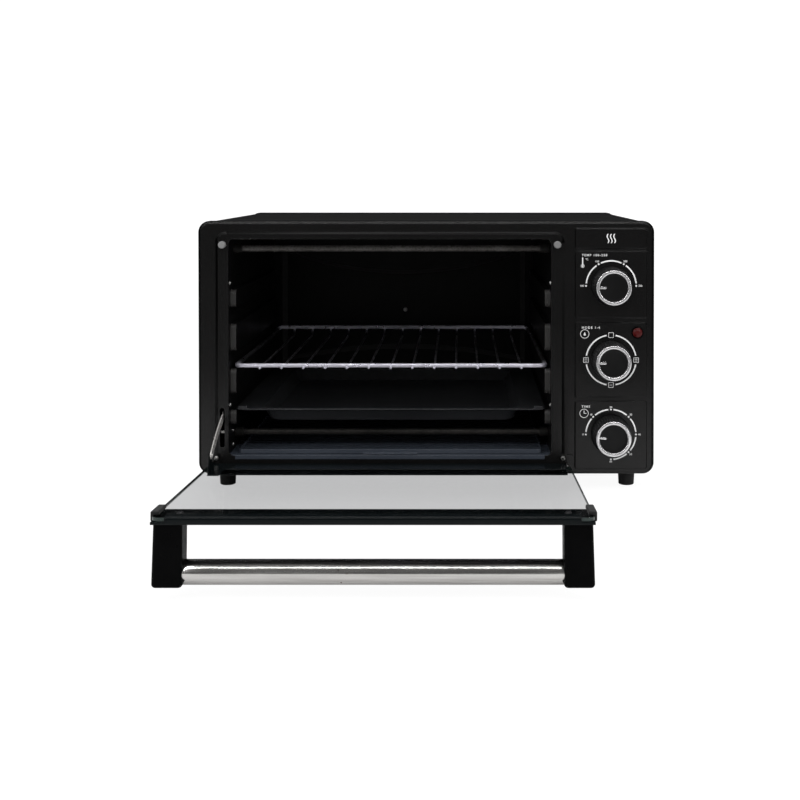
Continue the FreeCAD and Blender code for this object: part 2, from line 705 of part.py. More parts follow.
def hinge_pins():
    pins = []
    for side in (-1, 1):
        start = CAVITY_X + side * (RAIL_W / 2 - 20.0)
        end = CAVITY_X + side * (RAIL_W / 2 + 0.4 + EAR_T + 1.0)
        pins.append(rod(V(start, HINGE_Y, HINGE_Z), V(end, HINGE_Y, HINGE_Z), PIN_R))
    return opened(group(pins))


def hinge_bracket(side):
    """A plate screwed to the front panel, with an ear that carries the door pin."""
    ear_near = CAVITY_X + side * (RAIL_W / 2 + 0.4)
    ear_x = tuple(sorted((ear_near, ear_near + side * EAR_T)))
    base_x = tuple(sorted((CAVITY_X + side * 187.0, CAVITY_X + side * 201.0)))
    base = plate_xz(base_x, (FRONT - 1.2, FRONT), (BASE + 3.0, BASE + 22.0), 2.0)
    ear = box(ear_x, (HINGE_Y, FRONT), (HINGE_Z - EAR_R, HINGE_Z + EAR_R))
    nose = rod(V(ear_x[0], HINGE_Y, HINGE_Z), V(ear_x[1], HINGE_Y, HINGE_Z), EAR_R)
    hole = rod(V(ear_x[0] - 1, HINGE_Y, HINGE_Z), V(ear_x[1] + 1, HINGE_Y, HINGE_Z), PIN_R + SHAFT_FIT)
    bracket = fuse(base, ear, nose).cut(hole)
    screw_x = CAVITY_X + side * 189.9
    screw = pan_screw(screw_x, FRONT - 1.2, BASE + 18.0, V(0, -1, 0), 2.3, 1.2)
    return fuse(bracket, screw)


# ---------------------------------------------------------------- link between door and body
def link_pin_place():
    """Where the link's pin sits when the door is open."""
    along, height = LINK_PIN
    a = math.radians(OPEN_ANGLE)
    y = HINGE_Y + height * math.cos(a) - along * math.sin(a)
    z = HINGE_Z + height * math.sin(a) + along * math.cos(a)
    return y, z


def hinge_link():
    """A curved steel strap from its pin on the door lug, through the slot, to a rounded inner end."""
    y0, z0 = link_pin_place()
    x0, x1 = LINK_X
    tilt = math.radians(LINK_RISE_DEG)
    turn = LINK_LENGTH / LINK_BOW
    centre = (y0 + LINK_BOW * math.sin(tilt), z0 - LINK_BOW * math.cos(tilt))

    def at(radius, share):
        a = math.pi / 2 + tilt - turn * share
        return V(x0, centre[0] + radius * math.cos(a), centre[1] + radius * math.sin(a))

    outer, inner = LINK_BOW + LINK_HALF_W, LINK_BOW - LINK_HALF_W
    edges = [
        Part.Arc(at(outer, 0), at(outer, 0.5), at(outer, 1)).toShape(),
        Part.LineSegment(at(outer, 1), at(inner, 1)).toShape(),
        Part.Arc(at(inner, 1), at(inner, 0.5), at(inner, 0)).toShape(),
        Part.LineSegment(at(inner, 0), at(outer, 0)).toShape(),
    ]
    strap = Part.Face(Part.Wire(edges)).extrude(V(x1 - x0, 0, 0))
    eye = rod(at(LINK_BOW, 0), at(LINK_BOW, 0) + V(x1 - x0, 0, 0), LINK_HALF_W)
    end = rod(at(LINK_BOW, 1), at(LINK_BOW, 1) + V(x1 - x0, 0, 0), LINK_HALF_W)
    pin = rod(V(LUG_X[0] - 0.2, y0, z0), V(x1 + 0.8, y0, z0), LINK_PIN_R)
    return fuse(strap, eye, end, pin)


def guide_pin():
    """The rivet behind the slot that the link passes over, fixed to the cavity wall."""
    y, z = FRONT + 8.0, BASE + 45.0
    return rod(V(WALL_L - THIN_SHEET - 0.2, y, z), V(-227.4, y, z), 2.2)


# ---------------------------------------------------------------- knobs and what they turn
def knob_pieces(name, z, rest_turn):
    card_y = FRONT - CARD_RISE
    back = card_y - KNOB_GAP
    front = back - KNOB_DEPTH
    axis_point = V(DIAL_X, 0, z)
    skirt = Part.makeCone(KNOB_R, KNOB_FRONT_R + 0.6, KNOB_DEPTH - 2.0, V(DIAL_X, back, z), V(0, -1, 0))
    nose = Part.makeCylinder(KNOB_FRONT_R, 1.4, V(DIAL_X, back - KNOB_DEPTH + 2.0, z), V(0, -1, 0))
    ribs = []
    slope = (KNOB_R - KNOB_FRONT_R - 0.6) / (KNOB_DEPTH - 2.0)
    for i in range(KNOB_RIBS):
        a = 2 * math.pi * i / KNOB_RIBS
        out = V(math.cos(a), 0, math.sin(a))
        start = V(DIAL_X, back + 1, z) + out * (KNOB_R + 0.45 + slope)
        end = V(DIAL_X, front, z) + out * (KNOB_R + 0.45 - slope * KNOB_DEPTH)
        ribs.append(rod(start, end, KNOB_RIB_R))
    hollow = disc(DIAL_X, (back - 9.0, back + 1), z, KNOB_R - 3.5)
    hub = disc(DIAL_X, (back - 10.0, back - 3.2), z, 6.5)
    seat = disc(DIAL_X, (front - 1, front + 2.0), z, RING_IN_R)
    ring_seat = disc(DIAL_X, (front - 1, front + 0.6), z, RING_OUT_R + 1)
    bore = disc(DIAL_X, (back - SHAFT_IN_KNOB, back + 2), z, SHAFT_R)
    body = fuse(skirt, nose).cut(Part.makeCompound(ribs)).cut(hollow)
    body = fuse(body, hub).cut(Part.makeCompound([bore, seat])).cut(ring_seat)

    ring_y = (front - 0.8, front + 0.6)
    ring = disc(DIAL_X, ring_y, z, RING_OUT_R).cut(disc(DIAL_X, grown(ring_y, 1), z, RING_IN_R))
    rim = [e for e in ring.Edges if abs(e.BoundBox.YMax - ring_y[0]) < 1e-3]
    ring = ring.makeFillet(0.5, rim)

    bar_x = (DIAL_X - RING_IN_R + 0.02, DIAL_X - RING_IN_R + 0.02 + POINTER_L)
    pointer = plate_xz(bar_x, (front + 0.2, front + 2.0), (z - POINTER_W / 2, z + POINTER_W / 2), 0.5)

    shaft = disc(DIAL_X, (back - SHAFT_IN_KNOB, FRONT + SHAFT_REACH), z, SHAFT_R)
    pieces = {"knob": body, "knob_ring": ring, "pointer": pointer, "shaft": shaft}
    for part_name, shape in pieces.items():
        if rest_turn:
            shape = turned(shape, axis_point, Y_AXIS, rest_turn)
        node(f"{name}_{part_name}", shape)


def control_body(name, z):
    """The housing behind the panel, with the threaded bush that the shaft turns in."""
    y0 = FRONT + SHEET
    bush = disc(DIAL_X, (FRONT - CARD_RISE - 2.6, y0), z, BUSH_R)
    if name == "temperature":
        housing = disc(DIAL_X, (y0, y0 + 22.0), z, 17.0)
        tab = box((DIAL_X - 24, DIAL_X + 24), (y0 + 16.0, y0 + 20.0), (z - 8, z + 8))
        parts = [housing, tab]
    elif name == "selector":
        parts = [
            plate_xz((DIAL_X - 19, DIAL_X + 19), (y0, y0 + 26.0), (z - 17, z + 17), 3.0),
            box((DIAL_X - 15, DIAL_X + 15), (y0 + 26.0, y0 + 33.0), (z - 12, z + 12)),
        ]
    else:
        parts = [
            disc(DIAL_X, (y0, y0 + 18.0), z, 24.0),
            plate_xz((DIAL_X - 20, DIAL_X + 20), (y0 + 18.0, y0 + 38.0), (z - 20, z + 20), 4.0),
        ]
    bore = disc(DIAL_X, (FRONT - 6.0, FRONT + SHAFT_REACH + 0.5), z, SHAFT_R + SHAFT_FIT)
    return fuse(bush, *parts).cut(bore)


def hex_nut(x, z, y, across):
    corner = across / math.sqrt(3)
    points = [
        V(x + corner * math.cos(math.radians(60 * i)), y, z + corner * math.sin(math.radians(60 * i)))
        for i in range(6)
    ]
    nut = Part.Face(Part.makePolygon([*points, points[0]])).extrude(V(0, 2.4, 0))
    return nut.cut(disc(x, (y - 1, y + 4), z, BUSH_R + 0.02))


# ---------------------------------------------------------------- lamp
def lamp_lens():
    dome = Part.makeSphere(7.4, V(LAMP_X, FRONT + 2.2, LAMP_Z))
    keep = disc(LAMP_X, (FRONT - 5.6, FRONT - CARD_RISE - 1.4), LAMP_Z, 5.2)
    stem = disc(LAMP_X, (FRONT - CARD_RISE - 1.4, FRONT + 9.0), LAMP_Z, 3.4)
    return fuse(dome.common(keep), stem)


def lamp_holder():
    bezel = disc(LAMP_X, (FRONT - CARD_RISE - 1.4, FRONT - CARD_RISE), LAMP_Z, 6.6)
    sleeve = disc(LAMP_X, (FRONT - CARD_RISE, FRONT + 24.0), LAMP_Z, 4.5)
    bore = disc(LAMP_X, (FRONT - 6.0, FRONT + 9.0), LAMP_Z, 3.42)
    return fuse(bezel, sleeve).cut(bore)


def door_bumpers():
    pieces = []
    pocket = FRONT + POCKET_DEPTH
    contact = HINGE_Y + GLASS_INNER
    for x in BUMPER_X:
        head = disc(x, (contact + 0.1, pocket), BUMPER_Z, 4.0)
        head = head.makeFillet(1.4, [e for e in head.Edges if abs(e.BoundBox.YMax - (contact + 0.1)) < 1e-3])
        stem = disc(x, (pocket, pocket + 4.0), BUMPER_Z, 1.98)
        pieces.append(fuse(head, stem))
    return group(pieces)


# ---------------------------------------------------------------- rack and trays
def wire_rack():
    """A closed frame of rod that steps up at the back, with wires welded across its underside."""
    y0, y1 = RACK_Y
    step_y, rear_z = y1 - RACK_STEP_RUN, RACK_Z + RACK_STEP_RISE
    halves = []
    for side in (-1, 1):
        x = CAVITY_X + side * RACK_HALF_W
        x_rear = CAVITY_X + side * RACK_REAR_HALF_W
        halves.append(bent_rod([
            V(CAVITY_X, y0, RACK_Z), V(x, y0, RACK_Z), V(x, step_y, RACK_Z),
            V(x_rear, y1, rear_z), V(CAVITY_X, y1, rear_z),
        ], ROD_R, 6.0))
    wires = []
    for i in range(RACK_WIRES):
        x = CAVITY_X + (i - (RACK_WIRES - 1) / 2) * RACK_PITCH
        z = RACK_Z - RACK_WIRE_DROP
        wires.append(bent_rod([
            V(x, y0 - ROD_R - RACK_WIRE_END, z), V(x, step_y, z), V(x, y1 + 1.0, rear_z - RACK_WIRE_DROP),
        ], RACK_WIRE_R, 5.0))
    return fuse(*halves, *wires)


def tray_shell(outline_levels, thickness, rim_half, rim_y, rim_z, rim_t):
    """A pan lofted between two levels, with a flat rim round its mouth."""
    (top_x, top_y, top_z), (low_x, low_y, low_z) = outline_levels
    radius = 14.0

    def pan(by):
        mouth = round_rect(grown(top_x, by), grown(top_y, by), radius + by, lambda a, b: V(a, b, top_z))
        floor = round_rect(grown(low_x, by), grown(low_y, by), radius + by, lambda a, b: V(a, b, low_z - by))
        return Part.makeLoft([floor, mouth], True, True)

    outer = pan(thickness)
    rim = plate_xy(rim_half, rim_y, (rim_z, rim_z + rim_t), 8.0)
    inner = pan(0)
    clear = plate_xy(top_x, top_y, (rim_z - 0.01, rim_z + rim_t + 1), radius)
    return fuse(outer, rim).cut(inner).cut(clear)


def baking_tray():
    rim_z = TRAY_Z
    top = ((CAVITY_X - TRAY_BODY_HALF, CAVITY_X + TRAY_BODY_HALF), (TRAY_Y[0] + 8, TRAY_Y[1] - 14), rim_z)
    low = (grown(top[0], -7.0), grown(top[1], -7.0), rim_z - TRAY_DEPTH)
    rim_x = (CAVITY_X - TRAY_RIM_HALF, CAVITY_X + TRAY_RIM_HALF)
    pan = tray_shell((top, low), 0.7, rim_x, TRAY_Y, rim_z, 0.8)
    stops = []
    for x in (rim_x[0] + 3.0, rim_x[1] - 13.0):
        stops.append(box((x, x + 10.0), (TRAY_Y[0] + 0.2, TRAY_Y[0] + 1.2), (rim_z, rim_z + 4.0)))
    bead_y, bead_z = TRAY_Y[0] + 0.9, rim_z + 0.3
    bead = rod(V(rim_x[0] + 8, bead_y, bead_z), V(rim_x[1] - 8, bead_y, bead_z), 0.9)
    return fuse(pan, bead, *stops)


def crumb_tray():
    z = CAVITY_LOW + 0.3
    x = (CAVITY_X - CRUMB_HALF, CAVITY_X + CRUMB_HALF)
    outer = plate_xy(x, CRUMB_Y, (z, z + 5.0), 5.0)
    inner = plate_xy(grown(x, -0.8), grown(CRUMB_Y, -0.8), (z + 0.8, z + 6.0), 4.2)
    tab = plate_xy((CAVITY_X - 30, CAVITY_X + 30), (CRUMB_Y[0] - 5.0, CRUMB_Y[0] + 0.5), (z, z + 0.8), 0.2)
    return fuse(outer.cut(inner), tab)


# ---------------------------------------------------------------- wiring
def terminal_block():
    x = (TERMINALS_X[0] - 8.0, TERMINALS_X[-1] + 8.0)
    body = box(x, (TERMINAL_Y, TERMINAL_Y + 16.0), (TERMINAL_Z - 9.0, TERMINAL_Z + 9.0))
    holes = [disc(hole_x, (TERMINAL_Y - 1.0, TERMINAL_Y + 8.0), TERMINAL_Z, 2.6) for hole_x in TERMINALS_X]
    return body.cut(Part.makeCompound(holes))


def wiring_loom():
    """Insulated leads from the terminals to the switches and on to the heaters."""
    x = DIAL_X
    start = [V(terminal_x, TERMINAL_Y, TERMINAL_Z) for terminal_x in TERMINALS_X]
    y_back = FRONT + 64.0
    ends = [
        V(x - 10.0, FRONT + 40.5, KNOBS[2][1]),
        V(x + 6.0, FRONT + 35.5, KNOBS[1][1]),
        V(x + 12.0, FRONT + 24.5, KNOBS[0][1]),
    ]
    leads = []
    for i, (a, b) in enumerate(zip(start, ends)):
        run_y = y_back + 14.0 * i
        path = [a, V(a.x, run_y, a.z), V(b.x, run_y - 8.0, b.z), b]
        if i == 0:
            path = [a, V(a.x, run_y + 30.0, a.z + 1.0), V(b.x, run_y + 8.0, b.z), b]
        leads.append(bent_rod(path, 1.7, 7.0))
    return group(leads)


# ---------------------------------------------------------------- build every node
node("outer_wrap", outer_wrap())
node("rear_cover", rear_cover())
node("bottom_plate", bottom_plate())
node("front_frame", front_frame())
node("cavity_top", cavity_top())
node("cavity_left_wall", cavity_side(1))
node("cavity_right_wall", cavity_side(-1))
node("cavity_rear_wall", cavity_rear())
node("cavity_floor", cavity_floor())
node("control_partition", control_partition())
for element_name, element_y, element_z in ELEMENTS:
    node(element_name, heating_element(element_y, element_z))
node("element_insulators", insulators())
node("thermostat_body", control_body("temperature", KNOBS[0][1]))
node("selector_switch_body", control_body("selector", KNOBS[1][1]))
node("timer_body", control_body("timer", KNOBS[2][1]))
node("control_nuts", group([hex_nut(DIAL_X, z, FRONT - CARD_RISE - 2.4, 14.0) for _, z, _ in KNOBS]))
node("lamp_lens", lamp_lens())
node("lamp_holder", lamp_holder())
for foot_name, foot_x, foot_y in FEET:
    node(foot_name, foot(foot_x, foot_y))
node("door_bumpers", door_bumpers())
node("cord_gland", cord_gland())
node("hinge_bracket_left", hinge_bracket(-1))
node("hinge_bracket_right", hinge_bracket(1))
node("link_guide_pin", guide_pin())
node("cavity_screws", cavity_screws())
node("cover_screws", cover_screws())
node("terminal_block", terminal_block())
node("wiring_loom", wiring_loom())
node("door_glass", door_glass())
node("door_top_trim", door_top_trim())
node("door_bottom_rail", door_bottom_rail())
node("door_cap_left", corner_cap(-1))
node("door_cap_right", corner_cap(1))
node("handle_bracket_left", handle_bracket(-1))
node("handle_bracket_right", handle_bracket(1))
node("handle_bar", handle_bar())
node("handle_screws", handle_screws())
node("hinge_pins", hinge_pins())
node("hinge_link", hinge_link())
for knob_name, knob_z, knob_turn in KNOBS:
    knob_pieces(knob_name, knob_z, knob_turn)
node("wire_rack", wire_rack())
node("baking_tray", baking_tray())
node("crumb_tray", crumb_tray())

os.makedirs("parts", exist_ok=True)
for name, shape in NODES.items():
    limits = shape.BoundBox
    print(
        f"{name:24s} solids {len(shape.Solids):2d} valid {shape.isValid()} {shape.Volume / 1000:8.2f} cm3"
        f" x {limits.XMin:7.1f} {limits.XMax:7.1f} y {limits.YMin:7.1f} {limits.YMax:7.1f}"
        f" z {limits.ZMin:7.1f} {limits.ZMax:7.1f}"
    )
    shape.exportStep(f"parts/{name}.step")
print(len(NODES), "nodes")
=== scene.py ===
import json
import math

import bmesh
import bpy
from mathutils import Euler, Matrix, Vector


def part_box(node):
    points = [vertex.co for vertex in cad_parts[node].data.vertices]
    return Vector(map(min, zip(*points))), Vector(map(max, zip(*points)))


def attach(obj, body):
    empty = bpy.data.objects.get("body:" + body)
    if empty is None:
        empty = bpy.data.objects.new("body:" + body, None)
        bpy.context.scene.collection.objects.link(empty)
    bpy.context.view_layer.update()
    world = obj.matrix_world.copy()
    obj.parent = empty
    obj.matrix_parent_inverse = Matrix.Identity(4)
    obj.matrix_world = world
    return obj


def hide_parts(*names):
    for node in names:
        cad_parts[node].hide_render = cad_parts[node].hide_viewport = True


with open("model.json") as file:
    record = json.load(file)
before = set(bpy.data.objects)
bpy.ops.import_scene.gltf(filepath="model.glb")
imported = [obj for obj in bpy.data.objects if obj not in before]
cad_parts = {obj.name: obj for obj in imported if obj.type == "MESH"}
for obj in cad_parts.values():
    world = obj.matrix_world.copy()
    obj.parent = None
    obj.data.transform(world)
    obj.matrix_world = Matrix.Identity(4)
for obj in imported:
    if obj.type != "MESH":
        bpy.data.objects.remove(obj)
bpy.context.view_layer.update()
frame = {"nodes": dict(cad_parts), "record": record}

# Looks for the toaster oven. Lengths are in metres; MM turns a length in millimetres into one.
MM = 0.001
nodes = frame["nodes"]
scene = bpy.context.scene


# ---------------------------------------------------------------- camera, light and floor
CAMERA_AT = (0.037, -1.540, 0.341)
CAMERA_DROOP = 1.0  # degrees below level
LENS = 56.0  # this and the sensor's width in millimetres
SENSOR_WIDTH = 36.0
LENS_SHIFT = (-0.075, -0.248)

# What lights the oven from all round, and what its shiny surfaces see instead: a dark horizon,
# paler higher up and paler still towards the front.
ROOM_STRENGTH = 1.12
GLOSS_HEIGHTS = (0.10, 0.90)
GLOSS_STRENGTHS = (0.012, 0.10)
GLOSS_FRONT = 0.06

# The floor sheet, which dips under the handle because that hangs below the feet.
FLOOR_HALF_WIDTH = 4.0
FLOOR_ROWS_BEHIND = [3.0, 1.2, 0.5, 0.1]
FLOOR_ROWS_IN_FRONT = [-0.6, -0.9]
DIP_START, DIP_END = -0.165, -0.405
DIP_DEPTH = 0.034
DIP_STEPS = 24


def make_camera():
    """A long lens a little above the oven and to the right of its cavity."""
    data = bpy.data.cameras.new("camera")
    data.sensor_width = SENSOR_WIDTH
    data.lens = LENS
    data.shift_x, data.shift_y = LENS_SHIFT
    camera = bpy.data.objects.new("camera", data)
    camera.location = CAMERA_AT
    camera.rotation_euler = Euler((math.radians(90.0 - CAMERA_DROOP), 0.0, 0.0))
    scene.collection.objects.link(camera)
    scene.camera = camera


def area_light(name, at, towards, size, power):
    """A rectangular soft box at a place, facing another."""
    data = bpy.data.lights.new(name, "AREA")
    data.shape = "RECTANGLE"
    data.size, data.size_y = size
    data.energy = power
    light = bpy.data.objects.new(name, data)
    light.location = at
    way = Vector(towards) - Vector(at)
    light.rotation_mode = "QUATERNION"
    light.rotation_quaternion = way.to_track_quat("-Z", "Y")
    scene.collection.objects.link(light)


def make_lights():
    """Soft boxes over the oven, above its front, and on both sides of its front."""
    area_light("overhead", (0.0, -0.35, 1.7), (0.0, -0.15, 0.0), (2.4, 0.12), 8.0)
    area_light("front_left", (-1.6, -1.5, 1.1), (-0.1, -0.2, 0.15), (0.14, 1.5), 7.0)
    area_light("front_right", (1.6, -1.3, 0.9), (0.1, -0.2, 0.15), (0.12, 1.2), 4.0)
    area_light("front_above", (0.0, -1.35, 1.25), (0.0, -0.3, 0.1), (2.6, 0.09), 7.0)


def ramp(tree, source, from_range, to_range):
    """A value mapped from one range to another, and held at its ends."""
    node = tree.nodes.new("ShaderNodeMapRange")
    for socket, value in zip(("From Min", "From Max", "To Min", "To Max"), (*from_range, *to_range)):
        node.inputs[socket].default_value = value
    tree.links.new(source, node.inputs["Value"])
    return node.outputs[0]


def make_room():
    """A pale room that shiny surfaces see darker near the horizon."""
    world = bpy.data.worlds.new("room")
    world.use_nodes = True
    tree = world.node_tree
    tree.nodes.clear()
    out = tree.nodes.new("ShaderNodeOutputWorld")
    path = tree.nodes.new("ShaderNodeLightPath")
    way = tree.nodes.new("ShaderNodeTexCoord")
    split = tree.nodes.new("ShaderNodeSeparateXYZ")
    tree.links.new(way.outputs["Generated"], split.inputs[0])
    gloss = tree.nodes.new("ShaderNodeMath")
    tree.links.new(ramp(tree, split.outputs["Z"], GLOSS_HEIGHTS, GLOSS_STRENGTHS), gloss.inputs[0])
    tree.links.new(ramp(tree, split.outputs["Y"], (0.0, -1.0), (0.0, GLOSS_FRONT)), gloss.inputs[1])
    mix = tree.nodes.new("ShaderNodeMixShader")
    tree.links.new(path.outputs["Is Glossy Ray"], mix.inputs["Fac"])
    for socket, strength in ((mix.inputs[1], None), (mix.inputs[2], gloss.outputs[0])):
        room = tree.nodes.new("ShaderNodeBackground")
        room.inputs["Color"].default_value = (1.0, 1.0, 1.0, 1.0)
        room.inputs["Strength"].default_value = ROOM_STRENGTH
        if strength is not None:
            tree.links.new(strength, room.inputs["Strength"])
        tree.links.new(room.outputs[0], socket)
    tree.links.new(mix.outputs[0], out.inputs["Surface"])
    scene.world = world
    scene.view_settings.view_transform = "Standard"


def make_floor():
    """A pale sheet under the feet that dips gently in front."""
    dip = [DIP_START + (DIP_END - DIP_START) * i / DIP_STEPS for i in range(DIP_STEPS + 1)]
    rows = FLOOR_ROWS_BEHIND + dip + FLOOR_ROWS_IN_FRONT
    points = []
    for y in rows:
        share = min(1.0, max(0.0, (y - DIP_START) / (DIP_END - DIP_START)))
        z = -DIP_DEPTH * (0.5 - 0.5 * math.cos(math.pi * share))
        points += [(-FLOOR_HALF_WIDTH, y, z), (FLOOR_HALF_WIDTH, y, z)]
    faces = [(2 * i, 2 * i + 2, 2 * i + 3, 2 * i + 1) for i in range(len(rows) - 1)]
    mesh = bpy.data.meshes.new("floor")
    mesh.from_pydata(points, [], faces)
    mesh.polygons.foreach_set("use_smooth", [True] * len(faces))
    floor = bpy.data.objects.new("floor", mesh)
    scene.collection.objects.link(floor)
    floor.data.materials.append(floor_paper().material)


# ---------------------------------------------------------------- materials
BUILT_UP_EDGE = 1.2 * MM  # how far a coating rounds the edges of folded sheet


class Look:
    """A material being built: one Principled shader with procedural inputs in object space."""

    def __init__(self, name, colour, roughness, metallic=0.0, specular=0.5):
        self.material = bpy.data.materials.new(name)
        self.material.use_nodes = True
        self.tree = self.material.node_tree
        self.tree.nodes.clear()
        self.shader = self.tree.nodes.new("ShaderNodeBsdfPrincipled")
        self.out = self.tree.nodes.new("ShaderNodeOutputMaterial")
        self.tree.links.new(self.shader.outputs[0], self.out.inputs["Surface"])
        self.set("Base Color", (*colour, 1.0))
        self.set("Roughness", roughness)
        self.set("Metallic", metallic)
        self.set("Specular IOR Level", specular)
        coordinates = self.tree.nodes.new("ShaderNodeTexCoord")
        self.place = coordinates.outputs["Object"]
        self.turned = coordinates.outputs["Normal"]

    def set(self, socket, value):
        self.shader.inputs[socket].default_value = value

    def join(self, source, socket):
        self.tree.links.new(source, self.shader.inputs[socket])

    def colour(self):
        """What is joined to the base colour so far."""
        return self.shader.inputs["Base Color"].links[0].from_socket

    def paint(self, share, first, second):
        self.join(self.blend(share, first, second), "Base Color")

    def roughen(self, source, low, high, start, end):
        self.join(self.range(source, low, high, start, end), "Roughness")

    def part(self, vector, axis):
        """One of a vector's three parts."""
        split = self.tree.nodes.new("ShaderNodeSeparateXYZ")
        self.tree.links.new(vector, split.inputs[0])
        return split.outputs[axis]

    def stretched(self, stretch):
        """Object space, stretched where a pattern runs along one way."""
        if stretch is None:
            return self.place
        scale = self.tree.nodes.new("ShaderNodeMapping")
        scale.inputs["Scale"].default_value = stretch
        self.tree.links.new(self.place, scale.inputs["Vector"])
        return scale.outputs[0]

    def noise(self, scale, detail=3.0, stretch=None, distortion=0.0):
        node = self.tree.nodes.new("ShaderNodeTexNoise")
        node.inputs["Scale"].default_value = scale
        node.inputs["Detail"].default_value = detail
        node.inputs["Distortion"].default_value = distortion
        self.tree.links.new(self.stretched(stretch), node.inputs["Vector"])
        return node.outputs[0]

    def cells(self, scale, output="Distance", stretch=None):
        node = self.tree.nodes.new("ShaderNodeTexVoronoi")
        node.inputs["Scale"].default_value = scale
        self.tree.links.new(self.stretched(stretch), node.inputs["Vector"])
        return node.outputs[output]

    def range(self, source, low, high, start=0.0, end=1.0):
        """A value that goes from low to high while its source goes from start to end."""
        return ramp(self.tree, source, (start, end), (low, high))

    def blend(self, share, first, second):
        """A colour between two, each a colour or a socket, by share."""
        node = self.tree.nodes.new("ShaderNodeMix")
        node.data_type = "RGBA"
        self.tree.links.new(share, node.inputs["Factor"])
        for name, value in (("A", first), ("B", second)):
            socket = [s for s in node.inputs if s.name == name and s.type == "RGBA"][0]
            if isinstance(value, bpy.types.NodeSocket):
                self.tree.links.new(value, socket)
            else:
                socket.default_value = (*value, 1.0)
        return [s for s in node.outputs if s.type == "RGBA"][0]

    def maths(self, operation, first, second=0.0):
        """The result of a Math node on two values, each a number or a socket."""
        node = self.tree.nodes.new("ShaderNodeMath")
        node.operation = operation
        for socket, value in zip(node.inputs, (first, second)):
            if isinstance(value, bpy.types.NodeSocket):
                self.tree.links.new(value, socket)
            else:
                socket.default_value = value
        return node.outputs[0]

    def rounded(self, radius):
        """Shading that turns softly over the edges of folded sheet."""
        node = self.tree.nodes.new("ShaderNodeBevel")
        node.samples = 6
        node.inputs["Radius"].default_value = radius
        return node.outputs[0]

    def bump(self, height, strength, distance, under=None):
        """A relief of this height, over the shading that lies under it."""
        node = self.tree.nodes.new("ShaderNodeBump")
        node.inputs["Strength"].default_value = strength
        node.inputs["Distance"].default_value = distance
        self.tree.links.new(height, node.inputs["Height"])
        if under is not None:
            self.tree.links.new(under, node.inputs["Normal"])
        self.tree.links.new(node.outputs[0], self.shader.inputs["Normal"])
        return node.outputs[0]


def floor_paper():
    """White paper, a little grey where it lights the oven, so that the oven stays dark underneath."""
    look = Look("floor_paper", (0.95, 0.95, 0.95), 0.95, specular=0.1)
    look.bump(look.noise(600.0, 3.0), 0.02, 0.2 * MM)
    path = look.tree.nodes.new("ShaderNodeLightPath")
    seen = path.outputs["Is Camera Ray"]
    look.paint(seen, (0.50, 0.50, 0.50), (0.12, 0.12, 0.12))
    look.set("Emission Color", (1.0, 1.0, 1.0, 1.0))
    look.join(look.maths("MULTIPLY", seen, 0.93), "Emission Strength")
    return look


def coated(name, dark, light, roughness, grain, specular, depth=0.08 * MM, strength=0.35, wave=0.4 * MM):
    """Black paint or powder coat: orange peel, faint clouds, handling marks and built-up edges."""
    look = Look(name, dark, roughness, specular=specular)
    cloud = look.noise(9.0, 4.0)
    fleck = look.noise(grain * 0.55, 2.0)
    tone = look.blend(look.range(cloud, 0.15, 0.75, 0.3, 0.7), dark, light)
    look.paint(look.range(fleck, 0.0, 0.35, 0.58, 0.75), tone, light)
    smear = look.noise(26.0, 5.0, stretch=(1.0, 1.0, 0.45), distortion=0.6)
    look.roughen(smear, roughness - 0.02, roughness + 0.03, 0.2, 0.8)
    peel = look.bump(look.noise(grain, 3.0), strength, depth, under=look.rounded(BUILT_UP_EDGE))
    look.bump(look.noise(70.0, 2.0), 0.12, wave, under=peel)
    return look


def zinc():
    """Plated steel with a fine mottle."""
    look = Look("zinc_plate", (0.66, 0.66, 0.65), 0.30, metallic=1.0)
    mottle = look.noise(260.0, 4.0)
    cloud = look.noise(14.0, 3.0)
    tone = look.maths("ADD", look.range(mottle, 0.0, 0.6, 0.3, 0.7), look.range(cloud, 0.0, 0.4, 0.3, 0.7))
    look.paint(tone, (0.34, 0.33, 0.31), (0.66, 0.66, 0.65))
    look.roughen(mottle, 0.25, 0.40, 0.3, 0.7)
    look.bump(mottle, 0.3, 0.04 * MM)
    return look


def spangled_sheet():
    """Aluminised sheet with a faint crystal pattern."""
    look = Look("aluminised_sheet", (0.42, 0.43, 0.45), 0.34, metallic=1.0)
    crystal = look.cells(150.0, "Color")
    tone = look.range(crystal, 0.0, 1.0, 0.1, 0.9)
    look.paint(tone, (0.35, 0.36, 0.38), (0.50, 0.51, 0.53))
    look.roughen(crystal, 0.27, 0.42, 0.1, 0.9)
    look.bump(look.noise(420.0, 3.0, stretch=(1.0, 0.12, 1.0)), 0.15, 0.05 * MM)
    return look


def chrome(name, roughness, light, dark, metallic):
    """Bright plating with a light haze."""
    look = Look(name, light, roughness, metallic=metallic)
    haze = look.noise(120.0, 4.0)
    look.roughen(haze, roughness - 0.03, roughness + 0.06, 0.35, 0.7)
    look.paint(look.range(haze, 0.0, 1.0, 0.3, 0.75), light, dark)
    look.bump(look.noise(900.0, 2.0), 0.04, 0.03 * MM)
    return look


def plated_wire():
    """Bright plated rod, with painted shade darkening the wires inside the frame, which leaves the front and
    back bars bright.
    """
    look = chrome("plated_wire", 0.30, (0.88, 0.86, 0.97), (0.78, 0.77, 0.85), 0.75)
    low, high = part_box("wire_rack")
    along = look.part(look.place, "Y")
    behind_front = look.range(along, 0.0, 1.0, low.y + 7.0 * MM, low.y + 30.0 * MM)
    before_back = look.range(along, 1.0, 0.0, high.y - 9.0 * MM, high.y - 5.0 * MM)
    inside = look.maths("MULTIPLY", behind_front, before_back)
    # Painted shade: the wires between the front and back bars are darkened nearly to black, with a faint
    # mottle.
    painted_shade = look.maths("MULTIPLY", inside, look.range(look.noise(60.0, 4.0), 0.88, 1.0, 0.3, 0.6))
    look.paint(painted_shade, look.colour(), (0.030, 0.028, 0.029))
    return look


